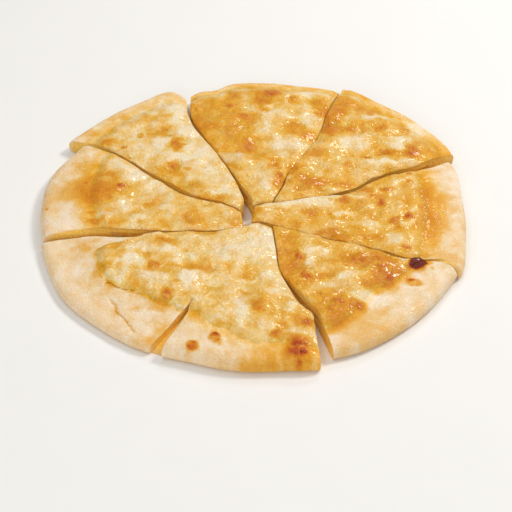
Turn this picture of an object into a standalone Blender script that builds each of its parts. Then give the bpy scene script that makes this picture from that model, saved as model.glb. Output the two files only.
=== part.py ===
"""A round cheese bread, cut into wedges that still lie together as one bread.

Each wedge is a dough envelope open at its cuts, a slab of cheese inside the envelope
and a sheet of melted cheese on top. Two wedges at the front are cut apart only near
the rim, so they are one piece with a slit. The origin is under the middle of the
bread, +Z is up and -Y is the front.
"""

import math
from collections import namedtuple

import bmesh
import bpy
from mathutils import Vector

# Sizes are in millimetres and angles in degrees until a mesh is placed.
MM = 0.001

# Where the middle of the bread lies in the plan that the cuts are drawn in, and the
# middle of its round rim, measured from there.
PLAN_MIDDLE = Vector((-2.0, 7.6))
RIM_MIDDLE = Vector((0.5, -2.6))

# Layers, by their heights above the surface that the bread rests on.
POCKET_FLOOR = 4.5
POCKET_CEILING = 9.0
THINNEST_SKIN = 1.3
CLEARANCE = 0.3
FILLING_END_GAP = 0.6
CHEESE_EDGE = 0.6
CHEESE_TAPER_ROWS = 1.5
CUT_THINNING = 0.25
CUT_THINNING_SHARE = 0.04
CUT_ROUNDING = 0.9
CUT_ROUNDING_WIDTH = 4.0
TIP_ROUNDING = 0.8
SHELL_INSET = 0.15

# Rounding of the rim where it meets the surface under the bread.
FOOT_INSET = 2.5

# How finely the wedges are divided, and how evenly.
COLUMNS = 10
CHEESE_ROWS = 10
BORDER_ROWS = 2
SHOULDER_ROWS = 3
FOOT_ROWS = 2
POCKET_ROW = CHEESE_ROWS - 1
RIM_SEARCH_STEPS = 40
CURVE_STEPS = 12
CROWDING = 0.06
FLAT_ANGLE = 0.0005
SHARP_ANGLE = 40.0

# Each cut runs outward through (x, y, opening between the wedges on its two sides).
CUTS = {
    "north_northeast": [
        (10.5, 9.5, 0.8), (17.0, 24.0, 1.0), (22.0, 41.0, 0.5), (33.0, 61.0, 0.45),
        (43.0, 82.0, 0.45), (49.5, 107.0, 0.6), (59.0, 134.0, 2.0), (64.0, 150.0, 2.6),
    ],
    "northeast_east": [
        (-2.0, 4.5, 0.6), (4.0, 7.4, 0.5), (11.0, 8.6, 0.5), (28.0, 10.6, 0.8),
        (45.0, 15.0, 1.4), (60.0, 21.0, 2.0), (72.0, 29.5, 2.6), (86.0, 38.8, 3.0),
        (98.0, 43.0, 2.2), (110.0, 47.2, 3.8), (120.0, 52.6, 6.6), (130.0, 59.6, 6.0),
        (150.0, 72.0, 6.0),
    ],
    "east_southeast": [
        (-3.5, -9.5, 0.6), (8.0, -11.6, 0.5), (20.0, -16.0, 0.5), (35.0, -22.0, 0.7),
        (60.0, -30.5, 1.0), (80.0, -37.5, 1.4), (98.0, -45.5, 1.6), (106.0, -45.0, 1.4),
        (114.0, -44.6, 1.6), (121.0, -46.2, 2.2), (127.0, -51.0, 3.0), (132.0, -58.0, 3.6),
        (137.0, -67.0, 4.0),
    ],
    "southeast_south": [
        (10.5, -14.5, 0.6), (13.0, -36.0, 0.5), (15.0, -55.0, 0.8), (21.5, -70.0, 3.0),
        (29.0, -85.0, 5.0), (36.0, -94.0, 3.2), (38.0, -103.0, 5.0), (41.0, -118.0, 8.0),
        (43.8, -133.0, 10.0), (45.5, -147.0, 11.0),
    ],
    "slit": [
        (2.0, -13.5, 0.0), (-12.0, -38.0, 0.0), (-26.0, -63.0, 0.0), (-38.5, -84.0, 0.0),
        (-43.0, -94.0, 4.5), (-49.8, -106.0, 6.8), (-57.8, -119.0, 8.2), (-65.2, -131.0, 10.4),
        (-72.5, -142.0, 12.0),
    ],
    "southwest_west": [
        (-6.5, -13.5, 0.6), (-12.0, -17.5, 0.6), (-30.0, -19.6, 0.6), (-50.0, -20.4, 0.8),
        (-65.0, -20.6, 2.2), (-80.0, -21.8, 6.6), (-92.0, -21.2, 7.0), (-104.0, -20.0, 6.0),
        (-118.0, -20.9, 4.6), (-130.0, -22.9, 2.8), (-138.0, -24.6, 2.2), (-150.0, -27.0, 2.2),
    ],
    "west_northwest": [
        (-8.5, -0.5, 1.2), (-22.0, 7.6, 1.2), (-42.0, 14.5, 2.0), (-58.0, 26.5, 3.0),
        (-75.0, 41.0, 2.4), (-86.0, 51.4, 1.6), (-96.0, 60.0, 1.2), (-107.0, 67.8, 1.1),
        (-119.0, 73.8, 1.1), (-140.0, 81.0, 1.1),
    ],
    "northwest_north": [
        (-4.7, 5.5, 6.0), (-5.4, 12.0, 5.2), (-8.7, 20.5, 3.6), (-12.8, 30.0, 1.2),
        (-21.0, 49.0, 1.0), (-30.0, 67.0, 1.4), (-41.0, 87.0, 2.2), (-47.0, 105.0, 2.0),
        (-48.3, 118.0, 2.4), (-48.8, 128.0, 3.4), (-51.0, 146.0, 5.0),
    ],
}

# Distance along the slit's line where the two front wedges come apart.
SLIT_START = 81.0

# A wedge of bread. The two starts are distances along its cuts where its tip begins.
# A swell is (angle, angle it spreads over, change of radius), the bare rim is given as
# (u, width without cheese) from the first cut to the second, and a bump is
# (x, y, half width along x, half width along y, height).
Wedge = namedtuple(
    "Wedge",
    "first_cut first_start second_cut second_start radius swells top border_width"
    " border_drop shoulder belly bare cheese bumps",
)

NORTH = Wedge(
    first_cut="north_northeast", first_start=0.8,
    second_cut="northwest_north", second_start=2.2,
    radius=145.6, swells=[(114.0, 9.0, -11.5), (101.5, 3.4, -5.0), (68.0, 5.0, 2.2)],
    top=12.3, border_width=26.0, border_drop=1.6, shoulder=6.5, belly=5.5,
    bare=[(0.0, 8.0), (0.5, 9.0), (1.0, 8.0)], cheese=1.6,
    bumps=[
        (-10.0, 41.0, 9.0, 17.0, 2.2), (10.0, 38.0, 9.0, 15.0, 1.6),
        (-4.0, 64.0, 30.0, 6.0, -1.9), (-20.0, 92.0, 15.0, 16.0, 1.8),
        (12.0, 84.0, 8.0, 24.0, 1.1), (10.0, 127.0, 13.0, 9.0, 1.6),
    ],
)
NORTHEAST = Wedge(
    first_cut="northeast_east", first_start=17.5,
    second_cut="north_northeast", second_start=2.0,
    radius=148.0, swells=[(30.0, 10.0, 3.0), (46.0, 8.0, 2.6), (62.0, 7.0, 5.0)],
    top=12.9, border_width=26.0, border_drop=1.6, shoulder=6.5, belly=5.5,
    bare=[(0.0, 9.0), (0.5, 12.0), (1.0, 8.0)], cheese=1.6,
    bumps=[
        (107.0, 62.0, 9.0, 9.0, 1.9), (53.0, 94.0, 7.0, 25.0, 1.3),
        (84.0, 84.0, 14.0, 12.0, 1.0), (72.0, 62.0, 14.0, 9.0, -1.2),
        (34.0, 32.0, 11.0, 12.0, 1.4), (86.0, 48.0, 20.0, 5.0, 0.8),
        (62.0, 29.0, 16.0, 6.0, -2.0), (84.0, 40.0, 14.0, 4.0, -1.4),
    ],
)
EAST = Wedge(
    first_cut="east_southeast", first_start=0.6,
    second_cut="northeast_east", second_start=0.6,
    radius=138.7, swells=[(20.0, 9.0, 5.8), (-23.0, 8.0, 4.4)],
    top=11.9, border_width=24.0, border_drop=0.8, shoulder=8.0, belly=5.8,
    bare=[(0.0, 28.0), (0.5, 25.0), (1.0, 27.0)], cheese=1.5,
    bumps=[
        (40.0, 10.0, 31.0, 4.5, 2.6), (4.0, -1.0, 8.0, 8.0, 1.4),
        (45.0, -4.0, 26.0, 6.0, -0.9), (116.0, 18.0, 12.0, 30.0, 1.3),
        (82.0, -12.0, 15.0, 11.0, -1.0), (62.0, 26.0, 12.0, 5.0, -1.0),
    ],
)
SOUTHEAST = Wedge(
    first_cut="southeast_south", first_start=2.0,
    second_cut="east_southeast", second_start=14.6,
    radius=139.5, swells=[(-24.0, 4.0, 1.0), (-70.0, 5.0, -1.5)],
    top=12.1, border_width=34.0, border_drop=1.8, shoulder=8.0, belly=4.8,
    bare=[(0.0, 16.0), (0.25, 20.0), (0.45, 29.0), (0.8, 26.0), (1.0, 20.0)], cheese=1.5,
    bumps=[
        (75.0, -50.0, 19.0, 13.0, 1.7), (101.0, -50.0, 5.0, 5.0, 2.6),
        (21.0, -52.0, 7.0, 16.0, -1.9), (44.0, -66.0, 13.0, 7.0, -1.2),
        (53.0, -92.0, 14.0, 13.0, 1.0), (30.0, -30.0, 13.0, 6.0, 0.8),
        (88.0, -44.0, 14.0, 5.0, -1.8),
    ],
)
SOUTHWEST = Wedge(
    first_cut="southwest_west", first_start=0.6,
    second_cut="slit", second_start=0.0,
    radius=139.8, swells=[(215.0, 9.0, 2.0), (246.0, 5.0, -1.0)],
    top=12.0, border_width=52.0, border_drop=4.8, shoulder=6.0, belly=3.2,
    bare=[(0.0, 60.0), (0.2, 28.0), (0.45, 24.0), (0.75, 31.0), (1.0, 33.0)], cheese=1.7,
    bumps=[
        (-95.0, -52.0, 8.0, 14.0, 1.4), (-80.0, -42.0, 16.0, 5.0, 0.9),
        (-55.0, -60.0, 15.0, 12.0, 1.0), (-72.0, -66.0, 9.0, 9.0, -0.9),
        (-60.0, -31.0, 20.0, 6.0, 0.8),
    ],
)
SOUTH = Wedge(
    first_cut="slit", first_start=0.0,
    second_cut="southeast_south", second_start=1.0,
    radius=140.4, swells=[(-73.0, 6.0, 3.5), (-106.0, 9.0, -2.5)],
    top=12.0, border_width=30.0, border_drop=0.8, shoulder=9.0, belly=5.0,
    bare=[(0.0, 33.0), (0.3, 22.0), (0.6, 14.0), (1.0, 10.0)], cheese=1.6,
    bumps=[
        (2.0, -18.0, 11.0, 6.0, 1.1), (-12.0, -48.0, 19.0, 16.0, 0.9),
        (-5.0, -66.0, 9.0, 7.0, -1.3), (27.0, -125.0, 9.0, 9.0, 1.5),
        (3.0, -92.0, 13.0, 13.0, 1.0), (-20.0, -117.0, 6.0, 7.0, 0.9),
    ],
)
WEST = Wedge(
    first_cut="west_northwest", first_start=1.0,
    second_cut="southwest_west", second_start=1.2,
    radius=139.2, swells=[(153.0, 5.0, -2.0), (190.0, 4.0, -1.2), (168.0, 8.0, 2.2)],
    top=12.5, border_width=28.0, border_drop=1.6, shoulder=8.5, belly=5.2,
    bare=[(0.0, 22.0), (0.5, 30.0), (1.0, 34.0)], cheese=1.5,
    bumps=[
        (-108.0, 14.0, 19.0, 15.0, 1.4), (-92.0, 36.0, 20.0, 12.0, 0.8),
        (-72.0, 8.0, 13.0, 9.0, -1.0), (-45.0, -4.0, 17.0, 8.0, 0.9),
        (-100.0, -12.0, 10.0, 6.0, 0.9), (-88.0, 0.0, 12.0, 6.0, -0.8),
    ],
)
NORTHWEST = Wedge(
    first_cut="northwest_north", first_start=5.0,
    second_cut="west_northwest", second_start=2.8,
    radius=145.6, swells=[(110.4, 2.2, -14.6), (117.0, 3.5, 2.4), (150.0, 4.0, 2.2)],
    top=13.0, border_width=28.0, border_drop=2.0, shoulder=7.0, belly=5.2,
    bare=[(0.0, 16.0), (0.5, 15.0), (1.0, 17.0)], cheese=1.6,
    bumps=[
        (-58.0, 66.0, 13.0, 13.0, 1.5), (-40.0, 32.0, 14.0, 12.0, 1.4),
        (-84.0, 82.0, 16.0, 9.0, -1.2), (-66.0, 92.0, 13.0, 9.0, 0.9),
        (-62.0, 44.0, 10.0, 6.0, -1.0), (-18.0, 14.0, 9.0, 6.0, 0.9),
    ],
)

# Wedges that are one piece stand side by side in one list.
PIECES = {
    "slice_north": [NORTH],
    "slice_northeast": [NORTHEAST],
    "slice_east": [EAST],
    "slice_southeast": [SOUTHEAST],
    "slice_front_double": [SOUTHWEST, SOUTH],
    "slice_west": [WEST],
    "slice_northwest": [NORTHWEST],
}

MATERIALS = {
    "dough": ((0.86, 0.66, 0.38, 1.0), 0.62),
    "filling": ((0.88, 0.62, 0.20, 1.0), 0.50),
    "topping": ((0.82, 0.53, 0.15, 1.0), 0.36),
}

# Rows of a dough sheet, from the top of the tip round the rim to the under side.
LAST_SHOULDER_ROW = CHEESE_ROWS + BORDER_ROWS + SHOULDER_ROWS
LAST_FOOT_ROW = LAST_SHOULDER_ROW + FOOT_ROWS
DOUGH_ROWS = LAST_FOOT_ROW + 1 + POCKET_ROW


def clear_scene():
    for thing in list(bpy.data.objects):
        bpy.data.objects.remove(thing, do_unlink=True)


def make_material(name):
    colour, roughness = MATERIALS[name]
    material = bpy.data.materials.new(name)
    material.use_nodes = True
    surface = material.node_tree.nodes["Principled BSDF"]
    surface.inputs["Base Color"].default_value = colour
    surface.inputs["Roughness"].default_value = roughness
    surface.inputs["Metallic"].default_value = 0.0
    return material


def smooth_step(value):
    value = min(max(value, 0.0), 1.0)
    return value * value * (3.0 - 2.0 * value)


def spread(value, width):
    return math.exp(-((value / width) ** 2))


def curve_through(points):
    """Catmull-Rom curve through the points, as a finer row of points."""
    corners = [Vector(point) for point in points]
    before = [2.0 * corners[0] - corners[1]] + corners[:-1]
    after = corners[1:] + [2.0 * corners[-1] - corners[-2]]
    fine = []
    for index in range(len(corners) - 1):
        start = corners[index]
        end = corners[index + 1]
        pull_start = 0.5 * (end - before[index])
        pull_end = 0.5 * (after[index + 1] - start)
        for step in range(CURVE_STEPS):
            t = step / CURVE_STEPS
            fine.append(
                start * (2.0 * t**3 - 3.0 * t**2 + 1.0)
                + pull_start * (t**3 - 2.0 * t**2 + t)
                + end * (3.0 * t**2 - 2.0 * t**3)
                + pull_end * (t**3 - t**2)
            )
    fine.append(corners[-1])
    return fine


class CutSide:
    """One side of a cut: the edge of a wedge, measured from its tip to the rim."""

    def __init__(self, cut, side):
        line = curve_through(CUTS[cut])
        self.points = []
        for index, point in enumerate(line):
            ahead = line[min(index + 1, len(line) - 1)]
            behind = line[max(index - 1, 0)]
            run = (ahead - behind).to_2d().normalized()
            outward = Vector((-run.y, run.x)) * side
            place = point.to_2d() - PLAN_MIDDLE
            self.points.append(place + outward * (max(point.z, 0.0) / 2.0))
        self.lengths = [0.0]
        for start, end in zip(line, line[1:]):
            self.lengths.append(self.lengths[-1] + (end - start).to_2d().length)

    def at(self, distance):
        index = 1
        while index < len(self.lengths) - 1 and self.lengths[index] < distance:
            index += 1
        low = self.lengths[index - 1]
        high = self.lengths[index]
        share = (distance - low) / (high - low)
        return self.points[index - 1].lerp(self.points[index], share)


def angle_of(place):
    from_middle = place - RIM_MIDDLE
    return math.degrees(math.atan2(from_middle.y, from_middle.x))


def rim_radius(wedge, angle):
    radius = wedge.radius
    for at, width, change in wedge.swells:
        away = (angle - at + 180.0) % 360.0 - 180.0
        radius += change * spread(away, width)
    return radius


def rim_distance(wedge, side, start):
    """Distance along a cut's side where it meets the wedge's rim."""
    low = start
    high = side.lengths[-1]
    for _ in range(RIM_SEARCH_STEPS):
        middle = 0.5 * (low + high)
        place = side.at(middle)
        if (place - RIM_MIDDLE).length < rim_radius(wedge, angle_of(place)):
            low = middle
        else:
            high = middle
    return low


class Plan:
    """The wedge from above: u runs from its first cut to its second, v outward."""

    def __init__(self, wedge, bumps):
        self.wedge = wedge
        self.bumps = bumps
        self.sides = []
        for cut, start, side in (
            (wedge.first_cut, wedge.first_start, 1.0),
            (wedge.second_cut, wedge.second_start, -1.0),
        ):
            edge = CutSide(cut, side)
            self.sides.append((edge, start, rim_distance(wedge, edge, start)))
        first = angle_of(self.edge(0, 1.0))
        second = angle_of(self.edge(1, 1.0))
        self.angles = (first, first + (second - first) % 360.0)

    def edge(self, index, v):
        side, start, end = self.sides[index]
        return side.at(start + (end - start) * v)

    def rim(self, u):
        angle = self.angles[0] + (self.angles[1] - self.angles[0]) * u
        radius = rim_radius(self.wedge, angle)
        turn = math.radians(angle)
        return RIM_MIDDLE + Vector((math.cos(turn), math.sin(turn))) * radius

    def place(self, u, v):
        """Patch between the two cuts, swollen outward to meet the rim."""
        ruled = self.edge(0, v).lerp(self.edge(1, v), u)
        straight_rim = self.edge(0, 1.0).lerp(self.edge(1, 1.0), u)
        return ruled + (self.rim(u) - straight_rim) * v * v

    def length(self, u):
        return (self.rim(u) - self.place(u, 0.0)).length

    def from_rim(self, u, distance):
        return 1.0 - distance / self.length(u)

    def bare_rim(self, u):
        for (low, narrow), (high, wide) in zip(self.wedge.bare, self.wedge.bare[1:]):
            if u <= high:
                return narrow + (wide - narrow) * smooth_step((u - low) / (high - low))
        return wide

    def dough_top(self, u, v):
        """Height of the dough's upper side."""
        wedge = self.wedge
        place = self.place(u, v)
        length = self.length(u)
        to_rim = (1.0 - v) * length
        height = wedge.top
        height -= wedge.border_drop * smooth_step(1.0 - to_rim / wedge.border_width)
        drawn = place + PLAN_MIDDLE
        for x, y, wide, deep, lift in self.bumps:
            height += lift * spread(drawn.x - x, wide) * spread(drawn.y - y, deep)
        across = (self.edge(0, v) - self.edge(1, v)).length
        for cut, to_cut in (
            (wedge.first_cut, u * across),
            (wedge.second_cut, (1.0 - u) * across),
        ):
            if cut != "slit" or v * length > SLIT_START:
                height -= CUT_ROUNDING * spread(to_cut, CUT_ROUNDING_WIDTH)
        height -= TIP_ROUNDING * spread(v * length, CUT_ROUNDING_WIDTH)
        if to_rim > self.bare_rim(u):
            height = max(height, POCKET_CEILING + THINNEST_SKIN)
        return height


def crowd(share):
    """Columns stand closer together towards the cuts."""
    return share - CROWDING * math.sin(2.0 * math.pi * share)


def dough_outside(plan, u, row):
    """Point on the outside of the dough: top, rim and under side."""
    wedge = plan.wedge
    cheese_end = plan.from_rim(u, plan.bare_rim(u))
    shoulder = plan.from_rim(u, wedge.shoulder)
    if row <= CHEESE_ROWS:
        v = cheese_end * row / CHEESE_ROWS
        return (*plan.place(u, v), plan.dough_top(u, v))
    row -= CHEESE_ROWS
    if row <= BORDER_ROWS:
        v = cheese_end + (shoulder - cheese_end) * row / BORDER_ROWS
        return (*plan.place(u, v), plan.dough_top(u, v))
    row -= BORDER_ROWS
    if row <= SHOULDER_ROWS:
        turn = 0.5 * math.pi * row / SHOULDER_ROWS
        v = plan.from_rim(u, wedge.shoulder * (1.0 - math.sin(turn)))
        rise = plan.dough_top(u, shoulder) - wedge.belly
        return (*plan.place(u, v), wedge.belly + rise * math.cos(turn))
    row -= SHOULDER_ROWS
    if row <= FOOT_ROWS:
        turn = 0.5 * math.pi * row / FOOT_ROWS
        v = plan.from_rim(u, FOOT_INSET * (1.0 - math.cos(turn)))
        return (*plan.place(u, v), wedge.belly * (1.0 - math.sin(turn)))
    row -= FOOT_ROWS
    v = cheese_end * (POCKET_ROW + 1 - row) / CHEESE_ROWS
    return (*plan.place(u, v), 0.0)


def dough_inside(plan, u, row):
    """Point on the pocket: its ceiling, its end wall and its floor."""
    cheese_end = plan.from_rim(u, plan.bare_rim(u))
    if row <= POCKET_ROW:
        return (*plan.place(u, cheese_end * row / CHEESE_ROWS), POCKET_CEILING)
    if row > LAST_FOOT_ROW:
        back = POCKET_ROW + 1 - (row - LAST_FOOT_ROW)
        return (*plan.place(u, cheese_end * back / CHEESE_ROWS), POCKET_FLOOR)
    share = (row - POCKET_ROW) / (LAST_FOOT_ROW + 1 - POCKET_ROW)
    height = POCKET_CEILING + (POCKET_FLOOR - POCKET_CEILING) * share
    return (*plan.place(u, cheese_end * POCKET_ROW / CHEESE_ROWS), height)


def inset(plan, u, v):
    """Plan point just inside the wedge's outline, so that no two skins meet."""
    across = (plan.edge(0, v) - plan.edge(1, v)).length
    inside = SHELL_INSET / across
    return plan.place(inside + (1.0 - 2.0 * inside) * u, v)


def filling_point(plan, u, row, height):
    end = plan.from_rim(u, plan.bare_rim(u)) * POCKET_ROW / CHEESE_ROWS
    end -= FILLING_END_GAP / plan.length(u)
    return (*inset(plan, u, end * row / POCKET_ROW), height)


def filling_over(plan, u, row):
    return filling_point(plan, u, row, POCKET_CEILING - CLEARANCE)


def filling_under(plan, u, row):
    return filling_point(plan, u, row, POCKET_FLOOR + CLEARANCE)


def topping_under(plan, u, row):
    v = plan.from_rim(u, plan.bare_rim(u)) * row / CHEESE_ROWS
    return (*plan.place(u, v), plan.dough_top(u, v) + CLEARANCE)


def topping_over(plan, u, row):
    """Melted cheese, thin at its rim side and rounded at the cuts."""
    x, y, under = topping_under(plan, u, row)
    taper = smooth_step((CHEESE_ROWS - row) / CHEESE_TAPER_ROWS)
    near_cut = spread(u, CUT_THINNING_SHARE) + spread(1.0 - u, CUT_THINNING_SHARE)
    full = plan.wedge.cheese - CHEESE_EDGE
    thick = CHEESE_EDGE + full * taper * (1.0 - CUT_THINNING * near_cut)
    return (x, y, under + thick)


class Piece:
    """Turns one or two wedges into closed solids, all from sheets of one grid."""

    def __init__(self, name, wedges):
        self.name = name
        bumps = [bump for wedge in wedges for bump in wedge.bumps]
        self.plans = [Plan(wedge, bumps) for wedge in wedges]

    def sheet(self, rows, slit_rows):
        """Flat grid that remembers the wedge, u and row of each corner."""
        sheet = bmesh.new()
        layers = sheet.verts.layers
        wedge_of = layers.int.new("wedge")
        u_of = layers.float.new("u")
        row_of = layers.int.new("row")
        columns = COLUMNS * len(self.plans)
        bmesh.ops.create_grid(sheet, x_segments=columns, y_segments=rows, size=1.0)
        for corner in sheet.verts:
            column = round((corner.co.x + 1.0) * 0.5 * columns)
            corner[wedge_of] = min(column // COLUMNS, len(self.plans) - 1)
            corner[u_of] = (column - COLUMNS * corner[wedge_of]) / COLUMNS
            corner[row_of] = round((corner.co.y + 1.0) * 0.5 * rows)
        if len(self.plans) > 1:
            self.open_slit(sheet, slit_rows)
        bmesh.ops.triangulate(sheet, faces=sheet.faces, quad_method="FIXED")
        return sheet

    def open_slit(self, sheet, slit_rows):
        wedge_of = sheet.verts.layers.int["wedge"]
        u_of = sheet.verts.layers.float["u"]
        row_of = sheet.verts.layers.int["row"]
        seam = []
        for edge in sheet.edges:
            on_line = all(v[wedge_of] == 1 and v[u_of] == 0.0 for v in edge.verts)
            if on_line and all(v[row_of] in slit_rows for v in edge.verts):
                seam.append(edge)
        bmesh.ops.split_edges(sheet, edges=seam)
        for corner in sheet.verts:
            if corner[wedge_of] == 1 and corner[u_of] == 0.0:
                if all(f.calc_center_median().x < 0.0 for f in corner.link_faces):
                    corner[wedge_of] = 0
                    corner[u_of] = 1.0

    def solid(self, layer, rows, slit_rows, outside, inside, material):
        """Sheet placed by one rule, thickened to a second sheet by another."""
        mesh = self.sheet(rows, slit_rows)
        first = list(mesh.verts)
        grown = bmesh.ops.extrude_face_region(
            mesh, geom=mesh.faces, use_keep_orig=True
        )
        second = [part for part in grown["geom"] if isinstance(part, bmesh.types.BMVert)]
        wedge_of = mesh.verts.layers.int["wedge"]
        u_of = mesh.verts.layers.float["u"]
        row_of = mesh.verts.layers.int["row"]
        for corners, rule in ((first, outside), (second, inside)):
            for corner in corners:
                plan = self.plans[corner[wedge_of]]
                point = rule(plan, crowd(corner[u_of]), corner[row_of])
                corner.co = Vector(point) * MM
        merge_flat_faces(mesh)
        bmesh.ops.recalc_face_normals(mesh, faces=mesh.faces)
        return finish_object(f"{self.name}_{layer}", mesh, material)


def merge_flat_faces(mesh):
    """Makes one face of the level faces that lie side by side in one plane."""
    mesh.normal_update()
    level = {f for f in mesh.faces if abs(f.normal.z) > math.cos(FLAT_ANGLE)}
    edges = [e for e in mesh.edges if all(f in level for f in e.link_faces)]
    corners = [v for v in mesh.verts if all(f in level for f in v.link_faces)]
    bmesh.ops.dissolve_limit(mesh, angle_limit=FLAT_ANGLE, verts=corners, edges=edges)
    bmesh.ops.triangulate(mesh, faces=mesh.faces, ngon_method="EAR_CLIP")


def finish_object(name, mesh, material):
    data = bpy.data.meshes.new(name)
    mesh.to_mesh(data)
    mesh.free()
    data.materials.append(material)
    data.shade_smooth()
    data.set_sharp_from_angle(angle=math.radians(SHARP_ANGLE))
    thing = bpy.data.objects.new(name, data)
    bpy.context.scene.collection.objects.link(thing)
    return thing


def slit_rows_of(piece):
    """Rows of the double piece's sheets that lie outside the slit's inner end."""
    plan = piece.plans[0]
    step = plan.from_rim(1.0, plan.bare_rim(1.0)) * plan.length(1.0) / CHEESE_ROWS
    start = math.ceil(SLIT_START / step)
    return range(start, DOUGH_ROWS - start + 1)


def build():
    clear_scene()
    looks = {name: make_material(name) for name in MATERIALS}
    for name, wedges in PIECES.items():
        piece = Piece(name, wedges)
        slit = slit_rows_of(piece)
        piece.solid("dough", DOUGH_ROWS, slit, dough_outside, dough_inside, looks["dough"])
        piece.solid(
            "filling", POCKET_ROW, slit, filling_over, filling_under, looks["filling"]
        )
        piece.solid(
            "topping", CHEESE_ROWS, slit, topping_over, topping_under, looks["topping"]
        )


build()
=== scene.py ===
"""Looks of a round cheese bread cut into wedges that still lie together.

Every wedge is three pieces: the dough envelope, the cheese inside it and the melted
cheese on top. Their forms repeat the plain solids' named sizes with finer relief.
"""

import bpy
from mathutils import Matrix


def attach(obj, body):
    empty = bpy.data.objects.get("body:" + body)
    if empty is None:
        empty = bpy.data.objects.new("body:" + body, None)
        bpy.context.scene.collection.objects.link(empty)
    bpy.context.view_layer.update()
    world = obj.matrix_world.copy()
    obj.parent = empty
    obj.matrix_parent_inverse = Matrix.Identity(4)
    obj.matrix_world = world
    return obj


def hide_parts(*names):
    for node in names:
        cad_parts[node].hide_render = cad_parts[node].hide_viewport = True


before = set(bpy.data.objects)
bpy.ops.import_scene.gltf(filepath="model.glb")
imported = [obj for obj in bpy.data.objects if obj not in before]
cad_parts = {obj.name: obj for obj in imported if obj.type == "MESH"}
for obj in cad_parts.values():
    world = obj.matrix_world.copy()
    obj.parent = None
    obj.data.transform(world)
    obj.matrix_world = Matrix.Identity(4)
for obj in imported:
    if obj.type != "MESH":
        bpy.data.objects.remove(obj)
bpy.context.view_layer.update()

import math
from collections import namedtuple

import bmesh
import bpy
import numpy as np
from bpy.props import FloatProperty, FloatVectorProperty, IntProperty, PointerProperty
from mathutils import Matrix, Vector

bl_info = {
    "name": "Cheese Bread",
    "version": (1, 0, 0),
    "blender": (4, 5, 0),
    "location": "3D View > Sidebar > Cheese Bread",
    "description": "Builds a baked cheese bread in wedges, with its stage",
    "category": "Add Mesh",
}

# Sizes are in millimetres until a mesh is placed. Places in the plan are complex
# numbers, x + iy, drawn from the same point as the cuts.
MM = 0.001
PLAN_MIDDLE = -2.0 + 7.6j
RIM_MIDDLE = 0.5 - 2.6j

# The plain solids' own sizes.
POCKET_FLOOR = 4.5
POCKET_CEILING = 9.0
POCKET_SHARE = 0.9
THINNEST_SKIN = 1.3
CUT_ROUNDING = 0.9
CUT_ROUNDING_WIDTH = 4.0
TIP_ROUNDING = 0.8
FOOT_INSET = 2.5
SLIT_START = 81.0
CURVE_STEPS = 12
RIM_SEARCH_STEPS = 40
FAR = 1000.0

# The rim stays this far inside the plain solids' rim, and heights above the highest
# point less SOFT_LIMIT are pressed together.
RIM_TRIM = 0.25
SOFT_LIMIT = 0.9

# Each cut runs outward through (x, y, opening between the wedges on its two sides).
CUTS = {
    "north_northeast": [
        (10.5, 9.5, 0.8), (17, 24, 1), (22, 41, 0.5), (33, 61, 0.45), (43, 82, 0.45),
        (49.5, 107, 0.6), (59, 134, 2), (64, 150, 2.6),
    ],
    "northeast_east": [
        (-2, 4.5, 0.6), (4, 7.4, 0.5), (11, 8.6, 0.5), (28, 10.6, 0.8), (45, 15, 1.4),
        (60, 21, 2), (72, 29.5, 2.6), (86, 38.8, 3), (98, 43, 2.2), (110, 47.2, 3.8),
        (120, 52.6, 6.6), (130, 59.6, 6), (150, 72, 6),
    ],
    "east_southeast": [
        (-3.5, -9.5, 0.6), (8, -11.6, 0.5), (20, -16, 0.5), (35, -22, 0.7), (60, -30.5, 1),
        (80, -37.5, 1.4), (98, -45.5, 1.6), (106, -45, 1.4), (114, -44.6, 1.6), (121, -46.2, 2.2),
        (127, -51, 3), (132, -58, 3.6), (137, -67, 4),
    ],
    "southeast_south": [
        (10.5, -14.5, 0.6), (13, -36, 0.5), (15, -55, 0.8), (21.5, -70, 3), (29, -85, 5),
        (36, -94, 3.2), (38, -103, 5), (41, -118, 8), (43.8, -133, 10), (45.5, -147, 11),
    ],
    "slit": [
        (2, -13.5, 0), (-12, -38, 0), (-26, -63, 0), (-38.5, -84, 0), (-43, -94, 4.5),
        (-49.8, -106, 6.8), (-57.8, -119, 8.2), (-65.2, -131, 10.4), (-72.5, -142, 12),
    ],
    "southwest_west": [
        (-6.5, -13.5, 0.6), (-12, -17.5, 0.6), (-30, -19.6, 0.6), (-50, -20.4, 0.8),
        (-65, -20.6, 2.2), (-80, -21.8, 6.6), (-92, -21.2, 7), (-104, -20, 6), (-118, -20.9, 4.6),
        (-130, -22.9, 2.8), (-138, -24.6, 2.2), (-150, -27, 2.2),
    ],
    "west_northwest": [
        (-8.5, -0.5, 1.2), (-22, 7.6, 1.2), (-42, 14.5, 2), (-58, 26.5, 3), (-75, 41, 2.4),
        (-86, 51.4, 1.6), (-96, 60, 1.2), (-107, 67.8, 1.1), (-119, 73.8, 1.1), (-140, 81, 1.1),
    ],
    "northwest_north": [
        (-4.7, 5.5, 6), (-5.4, 12, 5.2), (-8.7, 20.5, 3.6), (-12.8, 30, 1.2), (-21, 49, 1),
        (-30, 67, 1.4), (-41, 87, 2.2), (-47, 105, 2), (-48.3, 118, 2.4), (-48.8, 128, 3.4),
        (-51, 146, 5),
    ],
}

# A wedge's form, as in the plain solids, and its looks. Bumps are (x, y, half width
# along x, half width along y, height), marks the same with how much darker the bake
# is there, where a few darker marks are painted shade and a few paler ones painted
# highlights, and spots are small blisters, (x, y, radius along x, radius along y,
# height, how much darker). Fade is the width over which the cheese thins out.
Wedge = namedtuple(
    "Wedge",
    "first_cut first_start second_cut second_start radius swells top border_width"
    " border_drop shoulder belly bare cheese bumps bake fade marks spots",
)

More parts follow.
